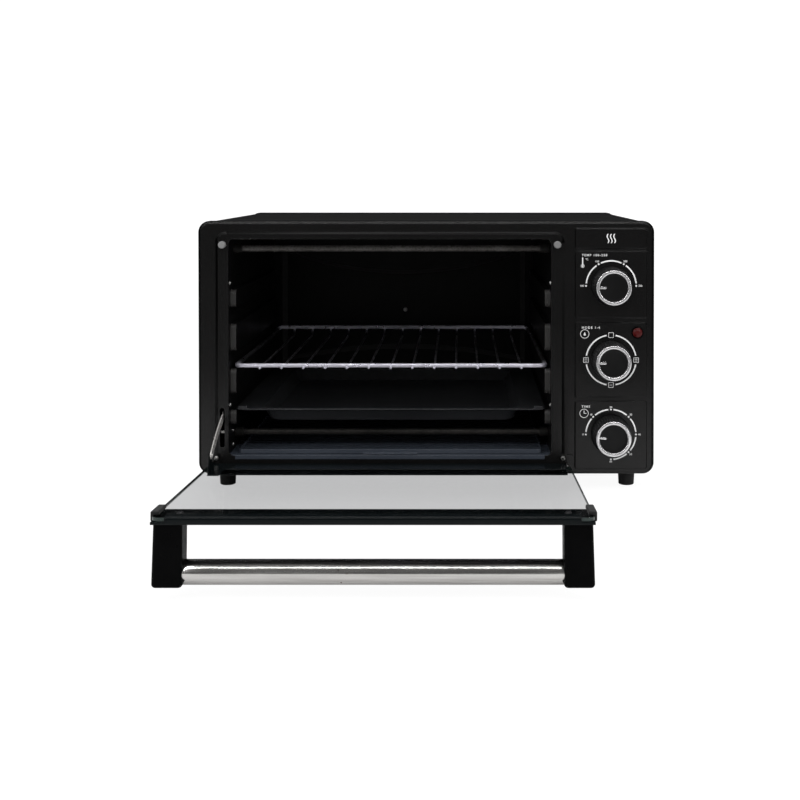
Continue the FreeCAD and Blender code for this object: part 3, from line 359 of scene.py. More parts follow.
def handle_steel():
    """Polished stainless tube with long draw marks and a few dark pits."""
    look = Look("handle_steel", (0.68, 0.66, 0.64), 0.20, metallic=1.0)
    drawn = look.noise(520.0, 4.0, stretch=(0.03, 1.0, 1.0))
    pit = look.cells(170.0)
    tone = look.blend(look.range(drawn, 0.0, 1.0, 0.3, 0.7), (0.66, 0.645, 0.62), (0.86, 0.845, 0.825))
    rare = look.noise(34.0, 2.0)
    patch = look.range(rare, 0.0, 1.0, 0.60, 0.66)
    spot = look.maths("MULTIPLY", look.range(pit, 1.0, 0.0, 0.10, 0.17), patch)
    look.paint(spot, tone, (0.22, 0.17, 0.14))
    look.roughen(drawn, 0.13, 0.26, 0.3, 0.7)
    look.bump(drawn, 0.10, 0.03 * MM)
    return look


def plastic(name, dark, light, roughness, grain, strength, specular):
    """Moulded plastic with a fine spark-eroded grain."""
    look = Look(name, dark, roughness, specular=specular)
    cloud = look.noise(40.0, 4.0)
    look.paint(look.range(cloud, 0.0, 1.0, 0.3, 0.75), dark, light)
    look.roughen(look.noise(90.0, 4.0), roughness - 0.05, roughness + 0.07, 0.3, 0.7)
    look.bump(look.noise(grain, 2.0), strength, 0.06 * MM)
    return look


def rubber(name, dark, light):
    """Moulded rubber, which scatters a little light at grazing angles."""
    look = plastic(name, dark, light, 0.62, 1100.0, 0.3, 0.3)
    look.set("Sheen Weight", 0.08)
    return look


def panel_paint():
    """Satin black of the front panel, with painted shade and less shine on the side-facing slopes beside the
    recess.
    """
    look = coated("panel_paint", (0.0026, 0.0025, 0.0025), (0.0048, 0.0046, 0.0046), 0.24, 1500.0, 0.42)
    # Painted shade: surfaces that turn sideways, such as the recess's side slopes, are painted near black and
    # lose most of their shine.
    painted_side_shade = look.range(look.maths("ABSOLUTE", look.part(look.turned, "X")), 0.0, 1.0, 0.10, 0.35)
    look.paint(painted_side_shade, look.colour(), (0.0004, 0.0004, 0.0004))
    look.join(look.range(painted_side_shade, 0.42, 0.06, 0.0, 1.0), "Specular IOR Level")
    return look


def enamel(name="cavity_enamel"):
    """Dark non-stick cavity coating, with fine mineral flecks."""
    return coated(name, (0.0013, 0.0013, 0.0014), (0.0040, 0.0039, 0.0040), 0.34, 900.0, 0.18)


def highlighted_enamel(name, near, far, highlight_tone):
    """The same coating, with a painted highlight that depends on how much a surface faces the front.

    near and far say how much of a surface's normal points to the front where the painted highlight starts and
    is full.
    """
    look = enamel(name)
    # Painted highlight: paler where the normal's share towards the front lies between near and far.
    painted_highlight = look.range(look.part(look.turned, "Y"), 0.0, 1.0, -near, -far)
    look.paint(painted_highlight, look.colour(), highlight_tone)
    return look


def floor_coating():
    """Blue-black coated sheet with faint wiping marks across it."""
    look = coated(
        "floor_coating", (0.026, 0.031, 0.041), (0.040, 0.047, 0.060), 0.30, 1300.0, 0.34, wave=0.1 * MM
    )
    wiped = look.noise(240.0, 4.0, stretch=(0.05, 1.0, 1.0))
    look.roughen(wiped, 0.22, 0.38, 0.35, 0.7)
    return look


def tray_coating():
    """Black non-stick of the baking tray."""
    return coated(
        "tray_coating", (0.010, 0.0105, 0.0115), (0.020, 0.021, 0.023), 0.30, 1300.0, 0.40, wave=0.1 * MM
    )


def heater_sheath(name, dark, light):
    """Steel sheath, dulled and specked by heat."""
    look = Look(name, light, 0.46, metallic=0.55, specular=0.3)
    band = look.noise(22.0, 4.0, stretch=(1.0, 0.3, 0.3), distortion=0.8)
    warm = look.blend(look.range(band, 0.0, 1.0, 0.35, 0.65), dark, light)
    soot = look.noise(420.0, 4.0)
    look.paint(look.range(soot, 0.0, 0.8, 0.48, 0.7), warm, tuple(0.45 * c for c in dark))
    look.roughen(soot, 0.36, 0.60, 0.3, 0.7)
    look.bump(soot, 0.12, 0.06 * MM)
    return look


def ceramic():
    """Unglazed insulator, painted near black as shade, with a random cloud and dark specks."""
    look = Look("steatite", (0.05, 0.046, 0.04), 0.65, specular=0.25)
    speck = look.cells(420.0)
    painted_shade = look.range(look.noise(120.0, 4.0), 0.0, 1.0, 0.3, 0.7)
    # Painted shade: both tones are near black, the dark of the cavity's ends, with a random cloud between
    # them.
    tone = look.blend(painted_shade, (0.004, 0.0038, 0.0034), (0.011, 0.0100, 0.0090))
    look.paint(look.range(speck, 0.5, 0.0, 0.05, 0.16), tone, (0.002, 0.002, 0.002))
    look.bump(look.noise(700.0, 3.0), 0.3, 0.1 * MM)
    return look


def pane():
    """Clear tempered glass: a grey cast through the faces, green at the ground edges, and a soft sheen."""
    look = Look("door_pane", (0.16, 0.22, 0.20), 0.22, specular=0.5)
    grind = look.noise(900.0, 3.0)
    look.paint(look.range(grind, 0.0, 1.0, 0.3, 0.7), (0.014, 0.022, 0.020), (0.030, 0.044, 0.040))
    look.bump(grind, 0.15, 0.03 * MM)
    tree = look.tree
    clear = tree.nodes.new("ShaderNodeBsdfTransparent")
    clear.inputs["Color"].default_value = (0.775, 0.776, 0.780, 1.0)
    gloss = tree.nodes.new("ShaderNodeBsdfGlossy")
    gloss.inputs["Color"].default_value = (1.0, 1.0, 1.0, 1.0)
    smear = look.range(look.noise(38.0, 4.0, distortion=0.5), 0.02, 0.10, 0.35, 0.75)
    tree.links.new(smear, gloss.inputs["Roughness"])
    face = tree.nodes.new("ShaderNodeMixShader")
    face.inputs["Fac"].default_value = 0.05
    tree.links.new(clear.outputs[0], face.inputs[1])
    tree.links.new(gloss.outputs[0], face.inputs[2])
    edge = look.range(look.maths("ABSOLUTE", look.part(look.turned, "Z")), 1.0, 0.0, 0.55, 0.80)
    ends = tree.nodes.new("ShaderNodeMixShader")
    tree.links.new(edge, ends.inputs["Fac"])
    tree.links.new(face.outputs[0], ends.inputs[1])
    tree.links.new(look.shader.outputs[0], ends.inputs[2])
    tree.links.new(ends.outputs[0], look.out.inputs["Surface"])
    return look


def lamp_lens():
    """Red moulded lens with a faceted inside."""
    look = Look("lamp_lens", (0.10, 0.004, 0.004), 0.30, specular=0.25)
    facet = look.cells(750.0)
    look.paint(look.range(facet, 0.0, 1.0, 0.1, 0.7), (0.085, 0.004, 0.004), (0.040, 0.002, 0.002))
    look.bump(facet, 0.10, 0.2 * MM)
    return look


def print_white():
    """Screen-printed ink."""
    look = Look("dial_print", (0.78, 0.78, 0.78), 0.5)
    ink = look.noise(2600.0, 3.0)
    look.paint(look.range(ink, 0.0, 1.0, 0.35, 0.7), (0.66, 0.66, 0.66), (0.84, 0.84, 0.84))
    look.bump(ink, 0.1, 0.02 * MM)
    return look


def phenolic():
    """Pale moulded resin of the switch bodies."""
    return plastic("phenolic", (0.44, 0.40, 0.33), (0.56, 0.52, 0.45), 0.45, 600.0, 0.3, 0.5)


def sleeve():
    """Braided glass sleeving."""
    look = Look("sleeving", (0.66, 0.63, 0.57), 0.7)
    braid = look.cells(1400.0, stretch=(1.0, 0.5, 1.0))
    look.paint(look.range(braid, 0.0, 1.0, 0.1, 0.7), (0.74, 0.72, 0.66), (0.46, 0.42, 0.36))
    look.bump(braid, 0.5, 0.2 * MM)
    return look


def make_looks():
    """One material for each material slot of the record, and a few for pieces that share a slot."""
    return {
        "body_paint": coated(
            "body_paint", (0.0022, 0.0022, 0.0024), (0.0046, 0.0046, 0.0050), 0.36, 1150.0, 0.28
        ),
        "panel_paint": panel_paint(),
        "enamel": enamel(),
        # Painted highlights: on side-wall surfaces turned to the front, such as the guide pads' ends, and on
        # the sloped border of the rear wall's pressed panel.
        "wall_enamel": highlighted_enamel("wall_enamel", 0.15, 0.70, (0.034, 0.033, 0.032)),
        "rear_enamel": highlighted_enamel("rear_enamel", 0.985, 0.85, (0.020, 0.020, 0.020)),
        "floor_coat": floor_coating(),
        "bare_steel": spangled_sheet(),
        "chrome_wire": plated_wire(),
        "tray_coat": tray_coating(),
        "element_steel": heater_sheath("heater_sheath", (0.075, 0.070, 0.066), (0.13, 0.125, 0.12)),
        # Painted shade: the lower elements get a darker copy of the sheath, as they lie in the shade of the
        # tray and rack.
        "shaded_heater": heater_sheath("heater_sheath_shaded", (0.016, 0.015, 0.014), (0.038, 0.036, 0.034)),
        "ceramic": ceramic(),
        "glass": pane(),
        "door_trim": coated(
            "door_trim", (0.0016, 0.0028, 0.0032), (0.0032, 0.0047, 0.0052), 0.20, 1700.0, 0.20,
            depth=0.04 * MM, strength=0.2,
        ),
        "rubber": rubber("black_rubber", (0.006, 0.006, 0.006), (0.014, 0.014, 0.014)),
        "bumper_grey": rubber("grey_silicone", (0.14, 0.14, 0.14), (0.19, 0.19, 0.19)),
        "black_plastic": plastic(
            "moulded_black", (0.0008, 0.0008, 0.0009), (0.0016, 0.0016, 0.0018), 0.30, 1500.0, 0.22, 0.04
        ),
        "handle_steel": handle_steel(),
        "knob_plastic": plastic(
            "knob_black", (0.0034, 0.0034, 0.0036), (0.0064, 0.0064, 0.0067), 0.36, 1600.0, 0.2, 0.22
        ),
        "knob_chrome": chrome("knob_chrome", 0.20, (0.93, 0.92, 0.93), (0.78, 0.77, 0.79), 0.82),
        "lamp_red": lamp_lens(),
        "hardware_zinc": zinc(),
        "black_screw": chrome("black_screw", 0.40, (0.022, 0.022, 0.024), (0.010, 0.010, 0.011), 0.4),
        "strap_steel": chrome("strap_steel", 0.24, (0.86, 0.84, 0.82), (0.60, 0.56, 0.53), 0.65),
        "switch_plastic": phenolic(),
        "wire_silicone": sleeve(),
        "print": print_white(),
    }


def dress_nodes(looks):
    """Give each CAD node the material of its slot."""
    slot_of = {row["node"]: row["material_slot"] for row in frame["record"]["subparts"]}
    # The lower elements take the darker, painted-shade copy of the sheath.
    slot_of["lower_front_element"] = slot_of["lower_rear_element"] = "shaded_heater"
    slot_of["cavity_left_wall"] = slot_of["cavity_right_wall"] = "wall_enamel"
    slot_of["cavity_rear_wall"] = "rear_enamel"
    slot_of["hinge_link"] = "strap_steel"
    slot_of["handle_screws"] = "black_screw"
    for name, obj in nodes.items():
        obj.data.materials.clear()
        obj.data.materials.append(looks[slot_of[name]].material)


SAME_POINT = 0.002 * MM
FLAT_ANGLE = 0.4
SHARP_ANGLE = 32.0


def soften(name, width):
    """Round the sharp edges of a CAD node with modifiers, and leave its mesh as it is."""
    obj = nodes[name]
    weld = obj.modifiers.new("weld", "WELD")
    weld.merge_threshold = SAME_POINT
    flat = obj.modifiers.new("flat", "DECIMATE")
    flat.decimate_type = "DISSOLVE"
    flat.angle_limit = math.radians(FLAT_ANGLE)
    bevel = obj.modifiers.new("bevel", "BEVEL")
    bevel.width = width
    bevel.segments = 3
    bevel.limit_method = "ANGLE"
    bevel.angle_limit = math.radians(SHARP_ANGLE)
    bevel.harden_normals = False
    bevel.miter_outer = "MITER_ARC"
    normal = obj.modifiers.new("normal", "WEIGHTED_NORMAL")
    normal.keep_sharp = False


# Edge widths in millimetres, and the CAD nodes that get them.
SOFT_EDGES = {
    0.7: ["front_frame", "door_bumpers"],
    0.6: ["handle_bracket_left", "handle_bracket_right"],
    0.4: [
        "cavity_rear_wall", "door_bottom_rail", "foot_front_left", "foot_front_right", "foot_rear_left",
        "foot_rear_right", "cord_gland", "thermostat_body", "selector_switch_body", "timer_body",
        "terminal_block",
    ],
    0.35: ["rear_cover", "cavity_left_wall", "cavity_right_wall", "control_nuts"],
    0.25: [
        "outer_wrap", "cavity_floor", "door_top_trim", "hinge_bracket_left", "hinge_bracket_right",
        "lamp_holder", "element_insulators", "bottom_plate", "control_partition",
    ],
    0.2: ["baking_tray", "crumb_tray", "hinge_link", "cover_screws", "cavity_screws", "handle_screws"],
}


# ---------------------------------------------------------------- mesh helpers
ARC_STEPS = 160  # in a full turn of a printed stroke
BEND_STEPS = 6


def mesh_piece(name, shape, look, body, replaces=None, smooth=40.0):
    """A piece on a body, from a shape's points in metres and its faces.

    Edges that turn less than smooth degrees are shaded smooth.
    """
    points, faces = shape
    mesh = bpy.data.meshes.new(name)
    mesh.from_pydata([tuple(p) for p in points], [], faces)
    work = bmesh.new()
    work.from_mesh(mesh)
    bmesh.ops.remove_doubles(work, verts=work.verts, dist=0.001 * MM)
    bmesh.ops.recalc_face_normals(work, faces=work.faces)
    work.to_mesh(mesh)
    work.free()
    mesh.polygons.foreach_set("use_smooth", [True] * len(mesh.polygons))
    mesh.set_sharp_from_angle(angle=math.radians(smooth))
    mesh.materials.append(look.material)
    obj = bpy.data.objects.new(name, mesh)
    scene.collection.objects.link(obj)
    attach(obj, body)
    if replaces:
        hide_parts(replaces)


def lathe(profile, centre, segments, ripple=None, turn=0.0):
    """Points and faces of a form turned about an axis along Y.

    profile lists (radius, y) from one end to the other, in metres, with y counted from the centre.
    ripple(radius, y, angle) may change a radius. A radius of 0 closes an end.
    """
    points, faces, rings = [], [], []
    for radius, y in profile:
        if radius <= 0.0:
            points.append((centre.x, centre.y + y, centre.z))
            rings.append([len(points) - 1])
            continue
        ring = []
        for i in range(segments):
            a = 2 * math.pi * i / segments + turn
            r = ripple(radius, y, a - turn) if ripple else radius
            points.append((centre.x + r * math.cos(a), centre.y + y, centre.z + r * math.sin(a)))
            ring.append(len(points) - 1)
        rings.append(ring)
    for first, second in zip(rings, rings[1:]):
        for i in range(segments):
            j = (i + 1) % segments
            if len(first) == 1:
                faces.append((first[0], second[i], second[j]))
            elif len(second) == 1:
                faces.append((first[i], first[j], second[0]))
            else:
                faces.append((first[i], first[j], second[j], second[i]))
    return points, faces


def in_mm(profile):
    """A profile written in millimetres, in metres."""
    return [(a * MM, b * MM) for a, b in profile]


def merged(parts):
    """Several (points, faces) as one."""
    points, faces = [], []
    for more_points, more_faces in parts:
        base = len(points)
        points += list(more_points)
        faces += [tuple(i + base for i in f) for f in more_faces]
    return points, faces


def extruded(outline, place, depths):
    """A plate from a closed outline.

    place(u, v, depth) gives a point, and depths lists (depth, how far the outline is drawn in there).
    """
    points, faces = [], []
    count = len(outline)
    middle = (sum(u for u, _ in outline) / count, sum(v for _, v in outline) / count)
    for depth, inset in depths:
        for u, v in outline:
            du, dv = u - middle[0], v - middle[1]
            length = math.hypot(du, dv) or 1.0
            points.append(place(u - du / length * inset, v - dv / length * inset, depth))
    for level in range(len(depths) - 1):
        a, b = level * count, (level + 1) * count
        for i in range(count):
            j = (i + 1) % count
            faces.append((a + i, a + j, b + j, b + i))
    faces.append(tuple(range(count)))
    faces.append(tuple(range((len(depths) - 1) * count, len(depths) * count)))
    return points, faces


def stadium(u0, u1, half, steps=10):
    """A bar with round ends, from u0 to u1, as an outline."""
    outline = []
    for end, side in ((u1, -90.0), (u0, 90.0)):
        centre = end - half if end == u1 else end + half
        for i in range(steps + 1):
            a = math.radians(side + 180.0 * i / steps)
            outline.append((centre + half * math.cos(a), half * math.sin(a)))
    return outline


def arc_band(radius, half, start, end):
    """A stroke along an arc, with round ends, as an outline. Angles are in degrees, from +X to +Z."""
    steps = max(3, int(abs(end - start) / 360.0 * ARC_STEPS))
    outline = []

    def around(angle, r):
        a = math.radians(angle)
        return r * math.cos(a), r * math.sin(a)

    for i in range(steps + 1):
        outline.append(around(start + (end - start) * i / steps, radius + half))
    tip = around(end, radius)
    for i in range(1, 8):
        a = math.radians(end + 180.0 * i / 8)
        outline.append((tip[0] + half * math.cos(a), tip[1] + half * math.sin(a)))
    for i in range(steps + 1):
        outline.append(around(end + (start - end) * i / steps, radius - half))
    tip = around(start, radius)
    for i in range(1, 8):
        a = math.radians(start + 180.0 + 180.0 * i / 8)
        outline.append((tip[0] + half * math.cos(a), tip[1] + half * math.sin(a)))
    return outline


def bent_path(corners, bend):
    """Points along straight runs joined by arcs of radius bend."""
    points = [corners[0]]
    for before, here, after in zip(corners, corners[1:], corners[2:]):
        a = (before - here).normalized()
        b = (after - here).normalized()
        half = a.angle(b) / 2
        reach = bend / math.tan(half)
        centre = here + (a + b).normalized() * (bend / math.sin(half))
        start, end = here + a * reach - centre, here + b * reach - centre
        for i in range(BEND_STEPS + 1):
            points.append(centre + start.slerp(end, i / BEND_STEPS).normalized() * bend)
    return [*points, corners[-1]]


def pipe(path, radius, segments=16):
    """A round bar along a path, with softly domed ends."""
    first = (path[0] - path[1]).normalized()
    last = (path[-1] - path[-2]).normalized()
    stations = [(path[0] + first * radius * 0.28, 0.62), (path[0] + first * radius * 0.12, 0.9)]
    stations += [(at, 1.0) for at in path]
    stations += [(path[-1] + last * radius * 0.12, 0.9), (path[-1] + last * radius * 0.28, 0.62)]
    way = -first
    side = way.orthogonal().normalized()
    points, faces = [], []
    for i, (at, share) in enumerate(stations):
        before = stations[max(i - 1, 0)][0]
        after = stations[min(i + 1, len(stations) - 1)][0]
        new = (after - before).normalized()
        side = (way.rotation_difference(new) @ side).normalized()
        way = new
        up = way.cross(side)
        for k in range(segments):
            a = 2 * math.pi * k / segments
            points.append(at + (side * math.cos(a) + up * math.sin(a)) * radius * share)
    for i in range(len(stations) - 1):
        for k in range(segments):
            j = (k + 1) % segments
            low, high = i * segments, (i + 1) * segments
            faces.append((low + k, low + j, high + j, high + k))
    faces.append(tuple(range(segments)))
    faces.append(tuple(range((len(stations) - 1) * segments, len(stations) * segments)))
    return points, faces


# ---------------------------------------------------------------- rack, handle tube and small hardware
ROD_R = 2.5 * MM
WIRE_R = 1.3 * MM
WIRE_DROP = 2.2 * MM
WIRE_END = 1.2 * MM
RACK_STEP = (14.0 * MM, 8.0 * MM)  # how far before its back the rack steps up, and how high
RACK_NARROWING = 6.5 * MM
RACK_WIRES = 13
RACK_PITCH = 24.2 * MM
# A weld's profile, as (radius, distance along the bar) in millimetres.
WELD_NUGGET = [(0.0, -2.7), (1.1, -2.5), (1.55, -1.6), (1.7, 0.0), (1.55, 1.6), (1.1, 2.5), (0.0, 2.7)]
ROUND = 50.0  # degrees up to which a round piece's edges are smooth


def make_rack():
    """Bent frame rod with wires welded across its underside."""
    low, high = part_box("wire_rack")
    middle = (low.x + high.x) / 2
    half = (high.x - low.x) / 2 - ROD_R
    y0, y1 = low.y + ROD_R + WIRE_END, high.y - ROD_R
    z = low.z + WIRE_DROP + WIRE_R
    rear_z, step_y = z + RACK_STEP[1], y1 - RACK_STEP[0]
    loop = []
    for side in (-1, 1):
        loop.append([
            Vector((middle, y0, z)), Vector((middle + side * half, y0, z)),
            Vector((middle + side * half, step_y, z)),
            Vector((middle + side * (half - RACK_NARROWING), y1, rear_z)), Vector((middle, y1, rear_z)),
        ])
    parts = [pipe(bent_path(corners, 6.0 * MM), ROD_R, 24) for corners in loop]
    for i in range(RACK_WIRES):
        x = middle + (i - (RACK_WIRES - 1) / 2) * RACK_PITCH
        corners = [
            Vector((x, y0 - ROD_R - WIRE_END * 0.6, z - WIRE_DROP)), Vector((x, step_y, z - WIRE_DROP)),
            Vector((x, y1 + 0.8 * MM, rear_z - WIRE_DROP)),
        ]
        parts.append(pipe(bent_path(corners, 5.0 * MM), WIRE_R, 14))
        for y, at_z in ((y0, z), (y1, rear_z)):
            parts.append(lathe(in_mm(WELD_NUGGET), Vector((x, y, at_z - 1.5 * MM)), 14))
    mesh_piece("rack_frame", merged(parts), looks["chrome_wire"], "rack", "wire_rack", ROUND)


# Of the handle tube, in millimetres: its wall, the chamfer at its ends, and how deep its inside is made.
TUBE_WALL = 1.0
TUBE_CHAMFER = 0.3
TUBE_LINED = 6.0


def make_handle_tube():
    """A thin-walled tube whose ends sit in the stand-offs."""
    low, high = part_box("handle_bar")
    centre = (low + high) / 2
    half = (high.x - low.x) / 2 / MM
    outer = (high.z - low.z) / 2 / MM - 0.01
    inner, chamfer = outer - TUBE_WALL, TUBE_CHAMFER
    straight = half - chamfer
    end = [(inner, half - TUBE_LINED), (inner, straight), (inner + chamfer, half), (outer - chamfer, half)]
    profile = [(r, -y) for r, y in end]
    profile += [(outer, straight * (i / 6 - 1.0)) for i in range(13)]
    profile += end[::-1]
    points, faces = lathe(in_mm(profile + profile[:1]), Vector((0, 0, 0)), 160)
    shape = [(centre.x + y, centre.y + x, centre.z + z) for x, y, z in points], faces
    mesh_piece("handle_tube", shape, looks["handle_steel"], "door", "handle_bar", ROUND)


# A screw head's profile, as (radius, depth) in millimetres.
SCREW_HEAD = [
    (0.0, 0.2), (2.3, 0.2), (2.42, -0.1), (2.36, -0.7), (2.0, -1.25), (1.45, -1.5), (1.2, -1.5),
    (1.1, -0.95), (0.0, -0.8),
]


def cross_recess(radius, _, angle):
    """Draws the inner rings of a screw head into a cross."""
    return radius * (1.0 + 0.45 * math.cos(4 * angle)) if radius < 1.3 * MM else radius


def make_hinge_screws():
    """A plated screw over each hinge bracket's plate."""
    for side in ("left", "right"):
        low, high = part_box(f"hinge_bracket_{side}")
        x = high.x - 2.9 * MM if side == "left" else low.x + 2.9 * MM
        centre = Vector((x, high.y - 1.2 * MM, high.z - 4.0 * MM))
        head = lathe(in_mm(SCREW_HEAD), centre, 48, cross_recess, 0.4)
        mesh_piece(f"hinge_screw_{side}", head, looks["hardware_zinc"], "oven")


# ---------------------------------------------------------------- knobs
KNOB_TURN = {"temperature": 0.0, "selector": 0.0, "timer": 5.0}  # degrees from the scale's first mark
KNOB_RIBS = 44
RIB_DEPTH = 0.75 * MM
# Profiles of the knob's pieces, as (radius, depth in front of the knob's back) in millimetres.
SKIRT_BACK = [
    (17.6, -7.0), (17.6, -0.4), (18.2, 0.0), (20.9, 0.0), (21.5, -0.35), (21.75, -1.0), (21.7, -2.2),
]
SKIRT_SIDE = [(21.7 - 2.15 * i / 10, -2.2 - 20.6 * i / 10) for i in range(1, 11)]
SKIRT_FACE = [
    (19.45, -23.6), (19.2, -24.2), (18.8, -24.5), (15.3, -24.5), (15.3, -23.35),
    (15.0, -23.15), (12.0, -23.08), (8.0, -23.03), (0.0, -23.0),
]
WEB = [(0.0, -9.8), (17.6, -9.8), (17.6, -7.0)]
HUB = [(3.02, -10.0), (3.02, -3.4), (3.3, -3.2), (6.2, -3.2), (6.5, -3.5), (6.5, -10.0)]
RING_CROWN = [
    (17.22 + 1.68 * math.cos(math.pi * i / 14), -25.0 - 0.72 * math.sin(math.pi * i / 14)) for i in range(15)
]
RING_SEAT = [(15.5, -24.9), (15.42, -24.0), (15.40, -23.2), (15.32, -23.2), (15.32, -24.52)]


def knob_centre(name):
    """The middle of a knob's back, where its skirt starts."""
    low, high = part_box(f"{name}_knob_ring")
    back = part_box(f"{name}_knob")[1].y
    return Vector(((low.x + high.x) / 2, back, (low.z + high.z) / 2))


def grip_ripple(radius, y, angle):
    """Fine grooves with round lands down the skirt, fading out at both ends."""
    reach = min(1.0, max(0.0, (-y - 0.8 * MM) / (1.6 * MM)), max(0.0, (y + 24.4 * MM) / (1.4 * MM)))
    land = abs(math.sin(angle * KNOB_RIBS / 2))
    return radius - reach * RIB_DEPTH * (1.0 - land) ** 1.6


def make_knob(name):
    """The ribbed body, the bright ring and the pointer of one knob, at the turn it has at rest."""
    centre, body = knob_centre(name), f"{name}_dial"
    turn = -math.radians(KNOB_TURN[name])
    around = KNOB_RIBS * 8
    skirt = lathe(in_mm(SKIRT_BACK + SKIRT_SIDE + SKIRT_FACE), centre, around, grip_ripple, turn)
    web = lathe(in_mm(WEB), centre, around, None, turn)
    hub = lathe(in_mm(HUB), centre, 48)
    mesh_piece(f"{name}_grip", merged([skirt, web, hub]), looks["knob_plastic"], body,
               f"{name}_knob", ROUND)
    ring = in_mm([(18.88, -24.52), (18.9, -25.0)] + RING_CROWN + RING_SEAT)
    mesh_piece(f"{name}_bezel", lathe(ring + ring[:1], centre, 144), looks["knob_chrome"], body,
               f"{name}_knob_ring", ROUND)

    def place(u, v, depth):
        ct, st = math.cos(turn), math.sin(turn)
        return (centre.x + u * ct - v * st, centre.y + depth, centre.z + u * st + v * ct)

    outline = stadium(-15.36 * MM, -7.7 * MM, 1.22 * MM)
    depths = in_mm([(-22.9, 0.0), (-24.0, 0.0), (-24.25, 0.12), (-24.33, 0.4)])
    mesh_piece(f"{name}_pointer_bar", extruded(outline, place, depths), looks["knob_chrome"], body,
               f"{name}_pointer", 30.0)


# ---------------------------------------------------------------- printing on the cards
ARC_R = 27.4 * MM
STROKE = 0.75 * MM  # half the width of the printed arcs
DOT_R = 1.0 * MM
DIAL_TEXT = 2.9 * MM
CAPTION_TEXT = 3.5 * MM


def card_face():
    """How far forward the cards' faces lie."""
    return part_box("front_frame")[0].y


def print_plate(outline, centre):
    """A film of ink with this outline about a point on the card."""
    face = card_face()

    def place(u, v, depth):
        return (centre[0] + u, face + depth, centre[1] + v)

    return extruded(outline, place, in_mm([(0.02, 0.0), (-0.05, 0.0), (-0.07, 0.03)]))


def ring_outline(radius, steps=28):
    turns = [2 * math.pi * i / steps for i in range(steps)]
    return [(radius * math.cos(a), radius * math.sin(a)) for a in turns]


def hollow_plate(outer, inner, centre):
    """Ink between two outlines with the same number of points."""
    face = card_face()
    points, faces = [], []
    for depth in (0.02 * MM, -0.06 * MM):
        for outline in (outer, inner):
            points += [(centre[0] + u, face + depth, centre[1] + v) for u, v in outline]
    n = len(outer)
    for i in range(n):
        j = (i + 1) % n
        faces.append((i, j, n + j, n + i))
        faces.append((2 * n + i, 3 * n + i, 3 * n + j, 2 * n + j))
        faces.append((i, 2 * n + i, 2 * n + j, j))
        faces.append((n + i, n + j, 3 * n + j, 3 * n + i))
    return points, faces


def soft_square(half, corner):
    """A square with round corners, as an outline."""
    outline, middle = [], half - corner
    for k, (sx, sz) in enumerate(((1, 1), (-1, 1), (-1, -1), (1, -1))):
        for i in range(6):
            a = math.radians(90.0 * k + 18.0 * i)
            outline.append((sx * middle + corner * math.cos(a), sz * middle + corner * math.sin(a)))
    return outline


def lettering(text, size, centre, align="CENTER", spacing=1.0):
    """Plain digits, a unit or a short caption as flat ink."""
    curve = bpy.data.curves.new("ink", "FONT")
    curve.body = text
    curve.size = size
    curve.align_x = align
    curve.align_y = "CENTER"
    curve.extrude = 0.04 * MM
    curve.offset = size * 0.012
    curve.resolution_u = 3
    curve.space_character = spacing
    temporary = bpy.data.objects.new("ink", curve)
    scene.collection.objects.link(temporary)
    bpy.context.view_layer.update()
    mesh = bpy.data.meshes.new_from_object(temporary.evaluated_get(bpy.context.evaluated_depsgraph_get()))
    face = card_face()
    points = [(centre[0] + v.co.x, face - v.co.z - 0.02 * MM, centre[1] + v.co.y) for v in mesh.vertices]
    faces = [tuple(p.vertices) for p in mesh.polygons]
    bpy.data.objects.remove(temporary)
    bpy.data.meshes.remove(mesh)
    bpy.data.curves.remove(curve)
    return points, faces


def arcs_between(angles, gap):
    """Strokes along the dial's arc between neighbouring angles, leaving a gap at each."""
    return [arc_band(ARC_R, STROKE, a - gap, b + gap) for a, b in zip(angles, angles[1:])]


def at_angle(centre, angle, radius):
    """A point on a circle about a centre on the card."""
    a = math.radians(angle)
    return (centre[0] + radius * math.cos(a), centre[1] + radius * math.sin(a))


def numbered_dial(centre, marks):
    """Dots on an arc with a number outside each. marks lists (angle, label)."""
    parts = [print_plate(o, centre) for o in arcs_between([a for a, _ in marks], 4.6)]
    for angle, label in marks:
        parts.append(print_plate(ring_outline(DOT_R), at_angle(centre, angle, ARC_R)))
        reach = ARC_R + (2.4 + 0.7 * len(label) * abs(math.cos(math.radians(angle)))) * MM
        parts.append(lettering(label, DIAL_TEXT, at_angle(centre, angle, reach)))
    return parts


def line(start, end, half):
    """A straight stroke with round ends, as an outline about (0, 0)."""
    (u0, v0), (u1, v1) = start, end
    length = math.hypot(u1 - u0, v1 - v0)
    cu, su = (u1 - u0) / length, (v1 - v0) / length
    bar = stadium(-half, length + half, half, 6)
    return [(u0 + u * cu - v * su, v0 + u * su + v * cu) for u, v in bar]


def thermometer(centre):
    """A round bulb with its stem, and the unit beside it."""
    bulb = (centre[0], centre[1] - 3.4 * MM)
    return [
        hollow_plate(ring_outline(1.9 * MM), ring_outline(1.4 * MM), bulb),
        print_plate(ring_outline(0.85 * MM), bulb),
        print_plate(line((0.0, -1.6 * MM), (0.0, 5.4 * MM), 0.6 * MM), centre),
        lettering("°C", DIAL_TEXT, (centre[0] + 4.4 * MM, centre[1] + 3.8 * MM)),
    ]


def circle_sign(centre):
    return hollow_plate(ring_outline(4.9 * MM, 48), ring_outline(4.4 * MM, 48), centre)


def flame(centre):
    """A drop-shaped tongue in a circle."""
    tongue = []
    for i in range(24):
        a = 2 * math.pi * i / 24
        rise = max(0.0, math.sin(a))
        u = 1.25 * math.cos(a) * (1.0 - 0.35 * rise)
        tongue.append((u, 1.35 * math.sin(a) * (1.0 + 0.9 * rise ** 3) - 0.6))
    return [circle_sign(centre), print_plate(in_mm(tongue), centre)]


